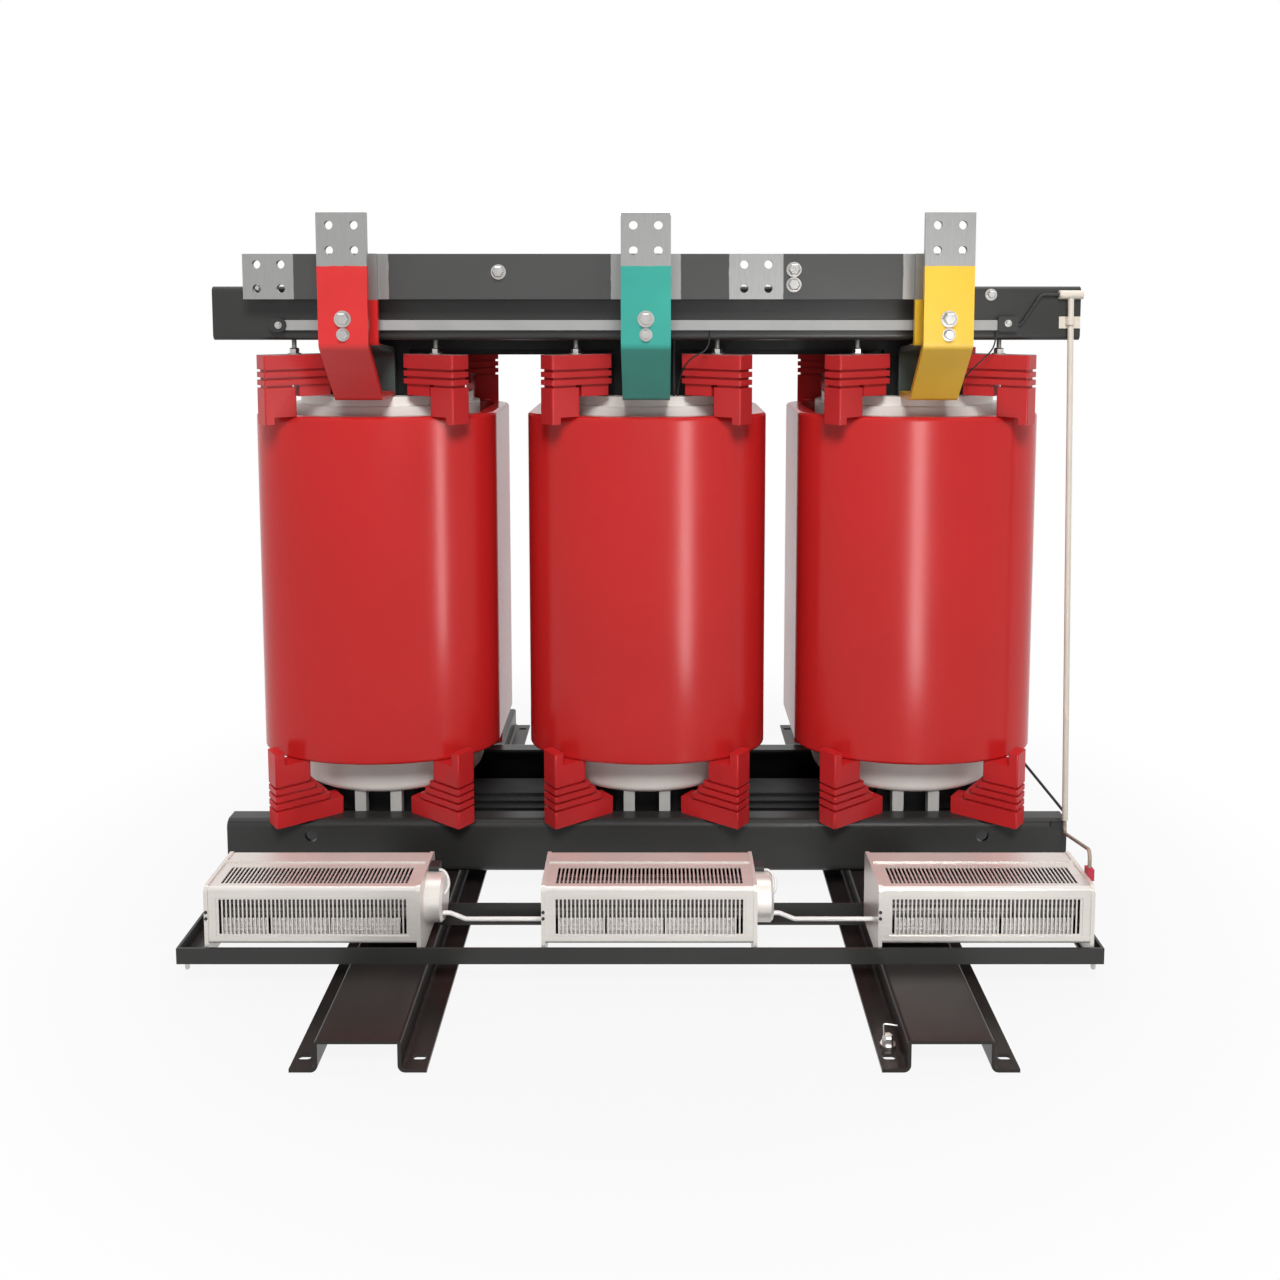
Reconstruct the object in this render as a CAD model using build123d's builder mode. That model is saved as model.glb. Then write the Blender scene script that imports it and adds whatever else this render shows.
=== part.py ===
"""Three-phase cast-resin dry-type power transformer with three cross-flow cooling blowers.

Millimetres, +Z up, -Y towards the low-voltage side with the blowers, origin at the floor under the middle.
"""
import os
from math import cos, radians, sin

from build123d import *

os.makedirs("parts", exist_ok=True)

half_turn = 180.0
full_turn = 360.0
sides = ("left", "middle", "right")
ends = ("front", "rear")

# Base rails, folded hat sections that run from front to rear
rail_gauge = 816.0
rail_shift = 14.0
rail_length = 1360.0
rail_top_width = 120.0
rail_foot_width = 190.0
rail_height = 46.0
rail_plate = 5.0
rail_bend = 5.5
anchor_slot_length = 20.0
anchor_slot_width = 12.0
anchor_slot_from_end = 28.0

# Core of stacked sheet, three limbs between two yokes
coil_pitch = 485.0
core_half_depth = 85.0
yoke_overhang = 100.0
lower_yoke_height = 74.0
upper_yoke_height = 125.0
yoke_step_height = 4.0
yoke_depth_shares = (1.0, 0.78, 0.5, 0.18)
window_height = 840.0
limb_half_width = 100.0
limb_step_shares = ((1.0, 0.353), (0.824, 0.647), (0.588, 0.847))

# Clamping channels along both faces of the yokes
clamp_plate = 8.0
lower_clamp_bend = 13.0
upper_clamp_bend = 9.0
lower_clamp_length = 1488.0
lower_clamp_out = 105.0
lower_clamp_height = 96.0
lower_clamp_lip = 40.0
upper_clamp_length = 1474.0
upper_clamp_out = 115.0
upper_clamp_height = 91.0
upper_clamp_above_window = 32.0
hauling_hole_radius = 11.0
hauling_hole_from_end = 149.0
hauling_hole_below_top = 28.0
tie_plate_width = 110.0

# Outer windings, cast red resin, oval in plan
hv_half_width = 214.0
hv_flat_half = 90.0
hv_reach = 128.0
hv_wall = 28.0
hv_edge = 6.0
tap_pad_width = 150.0
tap_pad_height = 420.0
tap_pad_corner = 14.0
tap_pad_proud = 14.0
tap_pad_root = 40.0

# Inner windings with a collar on top
lv_half_width = 168.0
lv_flat_half = 10.0
lv_reach = 150.0
lv_wall = 45.0
lv_lower_round = 14.0
lv_above_hv = 13.0
lv_above_clamp = 36.0
collar_inset = 12.0
collar_height = 17.0
lv_post_side = 20.0
lv_post_from_middle = 32.0

# Ribbed resin blocks, set aslant under and over each outer winding
block_out_x = 170.0
block_out_y = 211.0
block_turn = 36.4
block_length = 122.0
block_width = 40.0
block_corner = 3.0
groove_width = 4.5
groove_depth = 5.0
thin_slab = 9.0
lower_slab_shares = (0.6, 0.7, 0.8)
upper_slab_shares = (1.0, 1.0)
lower_rib_height = 74.0
lower_body_height = 36.5
lower_body_length = 63.0
lower_nose_height = 22.0
upper_rib_height = 56.0
upper_body_height = 50.0
upper_body_length = 55.0
upper_nose_height = 12.0
nose_length = 18.0
tail_gap = 7.0
tail_height = 16.0
press_screw_length = 25.0
press_screw_radius = 4.0
press_screw_in = 60.0

# Low-voltage bars: phase bars in front, neutral leads behind them
bar_width = 80.0
bar_plate = 10.0
bar_bend = 16.0
phase_bar_out = 119.0
phase_bar_above_clamp = 115.0
phase_bar_bend_below_clamp = 8.0
phase_ledge = 77.0
phase_foot_lap = 14.0
pad_hole_pitch = 40.0
pad_hole_radius = 7.0
pad_below_top = 40.0
neutral_lead_out = 51.0
neutral_lead_bend_below_clamp = 14.0
neutral_foot_height = 77.0
neutral_foot_gap = 7.0

# Neutral bar along the front, on two brackets that stand on the clamp
neutral_bar_height = 75.0
neutral_bar_above_clamp = 53.0
neutral_bar_past_left = 185.0
neutral_bar_past_right = 34.0
neutral_pad_from_end = 43.0
neutral_pad_right_x = 183.0
bracket_from_middle = 245.0
bracket_width = 50.0
bracket_height = 43.0
bracket_on_clamp = 30.0

# Post insulators behind the bars
front_post_radius = 16.0
front_post_above_clamp_foot = 24.0
rear_post_radius = 14.0
rear_post_above_clamp_foot = 52.0

# High-voltage links on the rear side
link_radius = 8.0
link_bend = 14.0
link_out = 26.0
long_link_out = 70.0
link_above_clamp_foot = 38.0
terminal_aside = 50.0
terminal_from_pad_end = 40.0

# Temperature leads: strip on the clamp, upright conduit with a tee, thin leads
duct_left = 628.0
duct_right = 605.0
duct_height = 17.0
duct_depth = 8.0
duct_above_clamp_foot = 17.0
conduit_radius = 5.0
conduit_off_clamp = 0.3
conduit_from_clamp_end = 19.0
conduit_above_lower_clamp = 8.0
conduit_lean = 17.0
conduit_below_clamp_top = 18.0
tee_radius = 7.5
tee_length = 40.0
tee_collar_height = 14.0
tee_collar_below = 47.0
saddle_width = 36.0
saddle_height = 20.0
saddle_plate = 3.0
saddle_above_clamp_foot = 30.0
thin_lead_radius = 2.0
black_lead_radius = 2.5
black_lead_bend = 12.0
black_lead_rise_run = 30.0
coil_lead_aside = 48.0
winding_lead_x = 200.0
winding_lead_y = 70.0
winding_lead_drop = 30.0
winding_lead_tail = 35.0
winding_lead_above_foot = 12.0

# Angle frame that carries the blowers on the rails
angle_side = 25.0
angle_plate = 4.0
frame_front_gap = 1.0
frame_rear_gap = 7.0
frame_past_fan = 28.5
frame_shift = -8.0

# Blowers
fan_pitch = 516.0
fan_shift = 6.0
fan_centre = 420.0
fan_width = 331.0
fan_depth = 126.0
fan_height = 117.0
fan_end_plate = 6.0
fan_end_corner = 9.0
shell_wall = 3.0
shell_inset = 2.0
shell_corner = 6.0
shell_lift = 24.0
fan_slot_count = 46
fan_slot_pitch = 6.3
fan_slot_width = 3.9
slot_field_margin = 3.0
slot_field_recess = 1.4
front_slot_height = 55.0
front_slot_lift = 16.0
top_slot_length = 54.0
top_slot_from_front = 13.0
seam_width = 5.0
seam_height = 2.0
seam_from_rear = 40.0
motor_radius = 37.5
motor_length = 28.0
motor_edge = 4.0

# Cross-flow wheels
wheel_radius = 34.0
wheel_length = 300.0
disc_plate = 2.0
disc_count = 4
blade_count = 18
blade_inner_share = 0.78
blade_middle_share = 0.88
blade_outer_share = 0.97
blade_middle_lead = 3.0
blade_outer_lead = 11.0
blade_thick_angle = 3.2
shaft_radius = 5.0
shaft_clearance = 0.05
shaft_hole_depth = 5.0
shaft_end_clearance = 1.0

# White cables between the blowers, feed lead of the last one
cable_radius = 3.5
cable_bend = 16.0
cable_aside = 18.0
cable_start_above_motor_foot = 20.0
cable_level = 10.0
cable_lead_out = 10.0
cable_run = 24.0
feed_radius = 3.0
feed_bend = 11.0
feed_tail = 24.0
feed_crest = 28.0
plug_width = 10.0
plug_depth = 16.0
plug_height = 18.0
plug_overlap = 8.0
plug_from_rear = 84.0

# Levels, from the floor up
lower_clamp_top = rail_height + lower_clamp_height
lower_yoke_top = rail_height + lower_yoke_height
upper_yoke_base = lower_yoke_top + window_height
upper_clamp_base = upper_yoke_base + upper_clamp_above_window
upper_clamp_top = upper_clamp_base + upper_clamp_height
hv_base = lower_clamp_top + lower_rib_height + lower_body_height
hv_top = upper_clamp_base - press_screw_length - upper_rib_height - upper_body_height
hv_height = hv_top - hv_base
lv_base = lower_clamp_top + lv_above_clamp
lv_top = hv_top + lv_above_hv
collar_top = lv_top + collar_height
fan_base = rail_height + angle_plate
shell_base = fan_base + shell_lift
shell_height = fan_height - shell_lift - shell_inset
wheel_axis_z = shell_base + shell_height / 2

# Distances from the middle plane towards the front
lower_clamp_face = core_half_depth + lower_clamp_out
upper_clamp_face = core_half_depth + upper_clamp_out
hv_half_depth = hv_flat_half + hv_reach
lv_half_depth = lv_flat_half + lv_reach
collar_front = lv_half_depth - collar_inset
phase_bar_face = upper_clamp_face + phase_bar_out
neutral_lead_face = upper_clamp_face + neutral_lead_out
neutral_bar_face = neutral_lead_face - bar_plate
neutral_bar_back = neutral_bar_face - bar_plate
tap_pad_face = hv_half_depth + tap_pad_proud
fan_front = fan_centre + fan_depth / 2
fan_rear = fan_centre - fan_depth / 2
frame_front = fan_front + frame_front_gap + angle_plate
frame_rear = fan_rear - frame_rear_gap - angle_plate
frame_half = fan_pitch + fan_width / 2 + frame_past_fan
coil_places = (-coil_pitch, 0, coil_pitch)
fan_places = (fan_shift - fan_pitch, fan_shift, fan_shift + fan_pitch)


def level(x, y, z):
    """Plane that lies flat at a height."""
    return Plane(origin=(x, y, z), x_dir=(1, 0, 0), z_dir=(0, 0, 1))


def across(x):
    """Plane across the length: local x runs to the rear, local y runs up."""
    return Plane(origin=(x, 0, 0), x_dir=(0, 1, 0), z_dir=(1, 0, 0))


def facing_front(x, y, z):
    """Upright plane that faces the front."""
    return Plane(origin=(x, y, z), x_dir=(1, 0, 0), z_dir=(0, -1, 0))


def facing_rear(x, y, z):
    """Upright plane that faces the rear."""
    return Plane(origin=(x, y, z), x_dir=(-1, 0, 0), z_dir=(0, 1, 0))


def keep(piece, name):
    """Label one piece and write it out."""
    piece.part.label = name
    export_step(piece.part, "parts/" + name + ".step")


def oval(plane, half_width, flat_half, reach):
    """Plan of a winding: two straight flanks closed by half ellipses."""
    with BuildSketch(plane) as outline:
        with BuildLine():
            Line((half_width, -flat_half), (half_width, flat_half))
            EllipticalCenterArc((0, flat_half), half_width, reach, 0, arc_size=half_turn)
            Line((-half_width, flat_half), (-half_width, -flat_half))
            EllipticalCenterArc((0, -flat_half), half_width, reach, half_turn, arc_size=half_turn)
        make_face()
    return outline.sketch


def base_rail(x):
    """Hat-section rail with a pair of anchor slots near each end."""
    foot = rail_foot_width / 2
    top = rail_top_width / 2
    slot_aside = (top + rail_bend + foot) / 2
    slot_end = rail_length / 2 - anchor_slot_from_end
    with BuildPart() as rail:
        with BuildSketch(facing_front(x, 0, 0)):
            with BuildLine():
                FilletPolyline(
                    (-foot, rail_plate),
                    (-top, rail_plate),
                    (-top, rail_height),
                    (top, rail_height),
                    (top, rail_plate),
                    (foot, rail_plate),
                    radius=rail_bend,
                )
                offset(amount=rail_plate, side=Side.RIGHT, closed=True)
            make_face()
        extrude(amount=rail_length / 2, both=True)
        with BuildSketch(level(x, 0, 0)):
            with GridLocations(2 * slot_aside, 2 * slot_end, 2, 2):
                SlotOverall(anchor_slot_length, anchor_slot_width)
        extrude(amount=rail_plate, mode=Mode.SUBTRACT)
    return rail


def clamp(sign, face, base, height, length, lip, bend):
    """Bent channel: web outwards, lower flange against the yoke, upper flange as deep as its lip."""
    inner = sign * core_half_depth
    outer = sign * face
    with BuildPart() as channel:
        with BuildSketch(across(0)):
            with BuildLine():
                FilletPolyline(
                    (inner, base),
                    (outer, base),
                    (outer, base + height),
                    (outer - sign * lip, base + height),
                    radius=bend,
                )
                offset(amount=clamp_plate, side=Side.RIGHT if sign < 0 else Side.LEFT, closed=True)
            make_face()
        extrude(amount=length / 2, both=True)
    return channel


def lower_clamp(sign):
    """Lower channel with a hauling hole near each end of its web."""
    hole_span = lower_clamp_length - 2 * hauling_hole_from_end
    hole_z = lower_clamp_top - hauling_hole_below_top
    with BuildPart() as channel:
        add(
            clamp(
                sign,
                lower_clamp_face,
                rail_height,
                lower_clamp_height,
                lower_clamp_length,
                lower_clamp_lip,
                lower_clamp_bend,
            ).part
        )
        with BuildSketch(facing_front(0, sign * lower_clamp_face, hole_z)):
            with GridLocations(hole_span, 0, 2, 1):
                Circle(hauling_hole_radius)
        extrude(amount=sign * clamp_plate, mode=Mode.SUBTRACT)
    return channel


def yoke(base, height, stepped_foot):
    """Stack of sheets whose packets get lower towards its faces."""
    half_length = coil_pitch + yoke_overhang
    with BuildPart() as stack:
        for count, share in enumerate(reversed(yoke_depth_shares)):
            drop = count * yoke_step_height
            foot_drop = drop if stepped_foot else 0
            with BuildSketch(level(0, 0, base + foot_drop)):
                Rectangle(2 * half_length, 2 * core_half_depth * share)
            extrude(amount=height - drop - foot_drop)
    return stack


def limb(x, yokes):
    """Limb of stepped section, mitred to the packets of both yokes."""
    reach = yoke_step_height * (len(yoke_depth_shares) - 1)
    with BuildPart() as stack:
        with BuildSketch(level(x, 0, lower_yoke_top - reach)):
            for width_share, depth_share in limb_step_shares:
                Rectangle(2 * limb_half_width * width_share, 2 * limb_half_width * depth_share)
        extrude(amount=window_height + 2 * reach)
        for other in yokes:
            add(other.part, mode=Mode.SUBTRACT)
    return stack


def hv_coil(x):
    """Cast winding with a raised tap pad on its rear."""
    pad_z = (hv_base + hv_top) / 2
    pad_start = tap_pad_face - tap_pad_root
    with BuildPart() as coil:
        extrude(oval(level(x, 0, hv_base), hv_half_width, hv_flat_half, hv_reach), amount=hv_height)
        rims = coil.edges().group_by(Axis.Z)
        fillet(rims[0] + rims[-1], radius=hv_edge)
        with BuildSketch(facing_rear(x, pad_start, pad_z)):
            RectangleRounded(tap_pad_width, tap_pad_height, tap_pad_corner)
        extrude(amount=tap_pad_root)
        bore = oval(level(x, 0, hv_base), hv_half_width - hv_wall, hv_flat_half, hv_reach - hv_wall)
        extrude(bore, amount=hv_height, mode=Mode.SUBTRACT)
    return coil


def lv_coil(x):
    """Inner winding with a rounded foot and a collar on top."""
    with BuildPart() as coil:
        extrude(oval(level(x, 0, lv_base), lv_half_width, lv_flat_half, lv_reach), amount=lv_top - lv_base)
        fillet(coil.edges().group_by(Axis.Z)[0], radius=lv_lower_round)
        collar = oval(level(x, 0, lv_top), lv_half_width - collar_inset, lv_flat_half, lv_reach - collar_inset)
        extrude(collar, amount=collar_height)
        bore = oval(level(x, 0, lv_base), lv_half_width - lv_wall, lv_flat_half, lv_reach - lv_wall)
        extrude(bore, amount=collar_top - lv_base, mode=Mode.SUBTRACT)
    return coil


def block_plan(plane, start, length, width, corner):
    """Plan of one layer of a block, measured from the block's outer end."""
    with BuildSketch(plane) as outline:
        with Locations((start + length / 2, 0)):
            if corner > 0:
                RectangleRounded(length, width, corner)
            else:
                Rectangle(length, width)
    return outline.sketch


def block_set(x, face, grow, rib_height, body_height, body_length, nose_height, slab_shares, screw_length):
    """Four blocks of one winding end, each a body on the winding's face and a stack of slabs on the clamp's side."""
    cap_height = rib_height - groove_width - len(slab_shares) * (thin_slab + groove_width)
    slabs = [(block_length * share, thin_slab) for share in slab_shares] + [(block_length, cap_height)]
    along = (cos(radians(block_turn)), sin(radians(block_turn)))
    core_width = block_width - 2 * groove_depth
    tail_start = body_length + tail_gap
    with BuildPart() as blocks:
        for sign_x in (-1, 1):
            for sign_y in (-1, 1):
                corner = (x + sign_x * block_out_x, sign_y * block_out_y)
                inward = (-sign_x * along[0], -sign_y * along[1], 0)
                foot = Plane(origin=(*corner, face), x_dir=inward, z_dir=(0, 0, 1))
                extrude(block_plan(foot, 0, body_length, block_width, block_corner), amount=grow * body_height)
                extrude(block_plan(foot, 0, nose_length, block_width, block_corner), amount=-grow * nose_height)
                layer = foot.offset(grow * body_height)
                last_length = body_length
                for slab_length, slab_height in slabs:
                    core_length = min(last_length, slab_length) - 2 * groove_depth
                    extrude(block_plan(layer, groove_depth, core_length, core_width, 0), amount=grow * groove_width)
                    layer = layer.offset(grow * groove_width)
                    extrude(block_plan(layer, 0, slab_length, block_width, block_corner), amount=grow * slab_height)
                    layer = layer.offset(grow * slab_height)
                    last_length = slab_length
                if screw_length > 0:
                    tail = foot.offset(grow * (body_height - tail_height))
                    tail_length = block_length - groove_depth - tail_start
                    tail_rise = grow * (tail_height + groove_width)
                    extrude(block_plan(tail, tail_start, tail_length, core_width, 0), amount=tail_rise)
                    with BuildSketch(layer):
                        with Locations((press_screw_in, 0)):
                            Circle(press_screw_radius)
                    extrude(amount=grow * screw_length)
    return blocks


def bent_bar(x, points):
    """Flat bar bent along a path of its front face, seen from the end."""
    with BuildPart() as bar:
        with BuildSketch(across(x)):
            with BuildLine():
                FilletPolyline(*points, radius=bar_bend)
                offset(amount=bar_plate, side=Side.LEFT, closed=True)
            make_face()
        extrude(amount=bar_width / 2, both=True)
    return bar


def phase_bar(x):
    """Phase bar from the collar of the inner winding to a four-hole pad above the clamp."""
    top = upper_clamp_top + phase_bar_above_clamp
    with BuildPart() as bar:
        add(
            bent_bar(
                x,
                (
                    (-phase_bar_face, top),
                    (-phase_bar_face, upper_clamp_base - phase_bar_bend_below_clamp),
                    (-collar_front - phase_ledge, collar_top),
                    (phase_foot_lap - collar_front, collar_top),
                ),
            ).part
        )
        with BuildSketch(facing_front(x, -phase_bar_face, top - pad_below_top)):
            with GridLocations(pad_hole_pitch, pad_hole_pitch, 2, 2):
                Circle(pad_hole_radius)
        extrude(amount=-bar_plate, mode=Mode.SUBTRACT)
    return bar


def neutral_lead(x):
    """Neutral lead from the collar up to the neutral bar."""
    foot = collar_front - phase_foot_lap - neutral_foot_gap
    return bent_bar(
        x,
        (
            (-neutral_lead_face, upper_clamp_top + neutral_bar_above_clamp),
            (-neutral_lead_face, upper_clamp_base - neutral_lead_bend_below_clamp),
            (-foot, collar_top + neutral_foot_height),
            (-foot, collar_top),
        ),
    )


def lead(points, bend, radius):
    """Round lead of straight runs and tangent bends."""
    with BuildPart() as run:
        with BuildLine() as path:
            FilletPolyline(*points, radius=bend)
        with BuildSketch(Plane(origin=path.line @ 0, z_dir=path.line % 0)):
            Circle(radius)
        sweep()
    return run


def fan_housing(x, motor):
    """Slotted sheet housing between two end plates, with its motor outside the right one."""
    half = fan_width / 2
    inner_half = half - fan_end_plate
    shell_depth = fan_depth - 2 * shell_inset
    shell_top = shell_base + shell_height
    shell_front = fan_front - shell_inset
    plate_z = fan_base + fan_height / 2
    shell_z = shell_base + shell_height / 2
    with BuildPart() as housing:
        for plate_x in (x - half, x + inner_half):
            with BuildSketch(across(plate_x)):
                with Locations((-fan_centre, plate_z)):
                    RectangleRounded(fan_depth, fan_height, fan_end_corner)
            extrude(amount=fan_end_plate)
        with BuildSketch(across(x - inner_half)):
            with Locations((-fan_centre, shell_z)):
                RectangleRounded(shell_depth, shell_height, shell_corner)
                Rectangle(shell_depth - 2 * shell_wall, shell_height - 2 * shell_wall, mode=Mode.SUBTRACT)
        extrude(amount=2 * inner_half)
        with BuildSketch(level(x, -fan_rear - seam_from_rear, shell_top)):
            Rectangle(2 * inner_half, seam_width)
        extrude(amount=seam_height)
        slot_z = shell_base + front_slot_lift + front_slot_height / 2
        with BuildSketch(facing_front(x, -shell_front, slot_z)):
            Rectangle(
                fan_slot_count * fan_slot_pitch + 2 * slot_field_margin,
                front_slot_height + 2 * slot_field_margin,
            )
        extrude(amount=-slot_field_recess, mode=Mode.SUBTRACT)
        with BuildSketch(facing_front(x, -shell_front, slot_z)):
            with GridLocations(fan_slot_pitch, 0, fan_slot_count, 1):
                Rectangle(fan_slot_width, front_slot_height)
        extrude(amount=-shell_wall, mode=Mode.SUBTRACT)
        slot_y = top_slot_from_front + top_slot_length / 2 - shell_front
        with BuildSketch(level(x, slot_y, shell_top)):
            with GridLocations(fan_slot_pitch, 0, fan_slot_count, 1):
                Rectangle(fan_slot_width, top_slot_length)
        extrude(amount=-shell_wall, mode=Mode.SUBTRACT)
        if motor:
            with BuildSketch(across(x + half)):
                with Locations((-fan_centre, wheel_axis_z)):
                    Circle(motor_radius)
            extrude(amount=motor_length)
            chamfer(housing.edges().sort_by(Axis.X)[-1], length=motor_edge)
        hole_start = inner_half - fan_end_plate
        for sign in (-1, 1):
            with BuildSketch(across(x + sign * hole_start)):
                with Locations((-fan_centre, wheel_axis_z)):
                    Circle(shaft_radius + shaft_clearance)
            extrude(amount=sign * (fan_end_plate + shaft_hole_depth), mode=Mode.SUBTRACT)
    return housing


def on_wheel(share, angle):
    """Point in the wheel section at a share of its radius."""
    reach = wheel_radius * share
    return (reach * cos(radians(angle)) - fan_centre, reach * sin(radians(angle)) + wheel_axis_z)


def impeller(x):
    """Cross-flow wheel: curved blades through four discs on one shaft."""
    half_shaft = fan_width / 2 - fan_end_plate + shaft_hole_depth - shaft_end_clearance
    disc_pitch = (wheel_length - disc_plate) / (disc_count - 1)
    with BuildPart() as wheel:
        with BuildSketch(across(x - half_shaft)):
            with Locations((-fan_centre, wheel_axis_z)):
                Circle(shaft_radius)
        extrude(amount=2 * half_shaft)
        for count in range(disc_count):
            with BuildSketch(across(x - wheel_length / 2 + count * disc_pitch)):
                with Locations((-fan_centre, wheel_axis_z)):
                    Circle(wheel_radius)
            extrude(amount=disc_plate)
        with BuildSketch(across(x - wheel_length / 2)):
            for count in range(blade_count):
                root = count * full_turn / blade_count
                back = root + blade_thick_angle
                with BuildLine():
                    ThreePointArc(
                        on_wheel(blade_inner_share, root),
                        on_wheel(blade_middle_share, root + blade_middle_lead),
                        on_wheel(blade_outer_share, root + blade_outer_lead),
                    )
                    Line(
                        on_wheel(blade_outer_share, root + blade_outer_lead),
                        on_wheel(blade_outer_share, back + blade_outer_lead),
                    )
                    ThreePointArc(
                        on_wheel(blade_outer_share, back + blade_outer_lead),
                        on_wheel(blade_middle_share, back + blade_middle_lead),
                        on_wheel(blade_inner_share, back),
                    )
                    Line(on_wheel(blade_inner_share, back), on_wheel(blade_inner_share, root))
                make_face()
        extrude(amount=wheel_length)
    return wheel


# Base, clamps and core
for name, sign in zip(("left", "right"), (-1, 1)):
    keep(base_rail(rail_shift + sign * rail_gauge / 2), name + "_base_rail")
for name, sign in zip(ends, (-1, 1)):
    keep(lower_clamp(sign), name + "_lower_clamp")
    keep(
        clamp(
            sign,
            upper_clamp_face,
            upper_clamp_base,
            upper_clamp_height,
            upper_clamp_length,
            upper_clamp_out,
            upper_clamp_bend,
        ),
        name + "_upper_clamp",
    )
lower_yoke = yoke(rail_height, lower_yoke_height, False)
keep(lower_yoke, "lower_yoke")
upper_yoke = yoke(upper_yoke_base, upper_yoke_height, True)
keep(upper_yoke, "upper_yoke")
tie_middle = coil_pitch + yoke_overhang + tie_plate_width / 2
with BuildPart() as tie_plates:
    with BuildSketch(level(0, 0, rail_height)):
        with GridLocations(2 * tie_middle, 0, 2, 1):
            Rectangle(tie_plate_width, 2 * core_half_depth)
    extrude(amount=clamp_plate)
keep(tie_plates, "clamp_tie_plates")

# Windings, their blocks and their low-voltage bars
for name, place in zip(sides, coil_places):
    keep(limb(place, (lower_yoke, upper_yoke)), name + "_limb")
    keep(hv_coil(place), name + "_hv_coil")
    keep(lv_coil(place), name + "_lv_coil")
    keep(
        block_set(
            place,
            hv_base,
            -1,
            lower_rib_height,
            lower_body_height,
            lower_body_length,
            lower_nose_height,
            lower_slab_shares,
            0,
        ),
        name + "_lower_blocks",
    )
    keep(
        block_set(
            place,
            hv_top,
            1,
            upper_rib_height,
            upper_body_height,
            upper_body_length,
            upper_nose_height,
            upper_slab_shares,
            press_screw_length,
        ),
        name + "_upper_blocks",
    )
    keep(phase_bar(place), name + "_phase_bar")
    keep(neutral_lead(place), name + "_neutral_lead")

lv_post_base = rail_height + clamp_plate
with BuildPart() as lv_posts:
    for place in coil_places:
        with BuildSketch(level(place, 0, lv_post_base)):
            with GridLocations(2 * lv_post_from_middle, 2 * lv_half_depth - lv_wall, 2, 2):
                Rectangle(lv_post_side, lv_post_side)
        extrude(amount=lv_base - lv_post_base)
keep(lv_posts, "lv_support_posts")

# Neutral bar, its brackets and the post insulators behind the bars
neutral_bar_top = upper_clamp_top + neutral_bar_above_clamp
neutral_bar_z = neutral_bar_top - neutral_bar_height / 2
neutral_bar_left = -coil_pitch - neutral_bar_past_left
neutral_bar_length = 2 * coil_pitch + neutral_bar_past_left + neutral_bar_past_right
with BuildPart() as neutral_bar:
    with BuildSketch(facing_front(neutral_bar_left + neutral_bar_length / 2, -neutral_bar_back, neutral_bar_z)):
        Rectangle(neutral_bar_length, neutral_bar_height)
    extrude(amount=bar_plate)
    for pad_x in (neutral_bar_left + neutral_pad_from_end, neutral_pad_right_x):
        with BuildSketch(facing_front(pad_x, -neutral_bar_face, neutral_bar_z)):
            with GridLocations(pad_hole_pitch, pad_hole_pitch, 2, 2):
                Circle(pad_hole_radius)
        extrude(amount=-bar_plate, mode=Mode.SUBTRACT)
keep(neutral_bar, "neutral_bar")

bracket_depth = neutral_bar_back - upper_clamp_face + bracket_on_clamp
with BuildPart() as brackets:
    with BuildSketch(level(0, bracket_depth / 2 - neutral_bar_back, upper_clamp_top)):
        with GridLocations(2 * bracket_from_middle, 0, 2, 1):
            Rectangle(bracket_width, bracket_depth)
    extrude(amount=bracket_height)
keep(brackets, "neutral_bar_brackets")

with BuildPart() as standoffs:
    with BuildSketch(facing_front(0, -neutral_lead_face, upper_clamp_base + front_post_above_clamp_foot)):
        with GridLocations(coil_pitch, 0, len(sides), 1):
            Circle(front_post_radius)
    extrude(amount=phase_bar_face - bar_plate - neutral_lead_face)
    with BuildSketch(facing_front(0, -upper_clamp_face, upper_clamp_base + rear_post_above_clamp_foot)):
        with GridLocations(coil_pitch, 0, len(sides), 1):
            Circle(rear_post_radius)
    extrude(amount=neutral_lead_face - bar_plate - upper_clamp_face)
keep(standoffs, "lead_standoffs")

# High-voltage links in delta, from the foot of one winding to the head of the next
pad_middle = (hv_base + hv_top) / 2
terminal_high = pad_middle + tap_pad_height / 2 - terminal_from_pad_end
terminal_low = pad_middle - tap_pad_height / 2 + terminal_from_pad_end
link_level = upper_clamp_base + link_above_clamp_foot
with BuildPart() as delta_links:
    for first, second, out in ((0, 1, link_out), (1, 2, link_out), (2, 0, long_link_out)):
        start_x = coil_places[first] + terminal_aside
        end_x = coil_places[second] - terminal_aside
        add(
            lead(
                (
                    (start_x, tap_pad_face, terminal_low),
                    (start_x, tap_pad_face + out, terminal_low),
                    (start_x, tap_pad_face + out, link_level),
                    (end_x, tap_pad_face + out, link_level),
                    (end_x, tap_pad_face + out, terminal_high),
                    (end_x, tap_pad_face, terminal_high),
                ),
                link_bend,
                link_radius,
            ).part
        )
keep(delta_links, "hv_delta_links")

# Temperature strip on the clamp and the upright conduit
duct_z = upper_clamp_base + duct_above_clamp_foot + duct_height / 2
with BuildPart() as duct:
    with BuildSketch(facing_front((duct_right - duct_left) / 2, -upper_clamp_face, duct_z)):
        Rectangle(duct_left + duct_right, duct_height)
    extrude(amount=duct_depth)
keep(duct, "sensor_duct")

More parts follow.
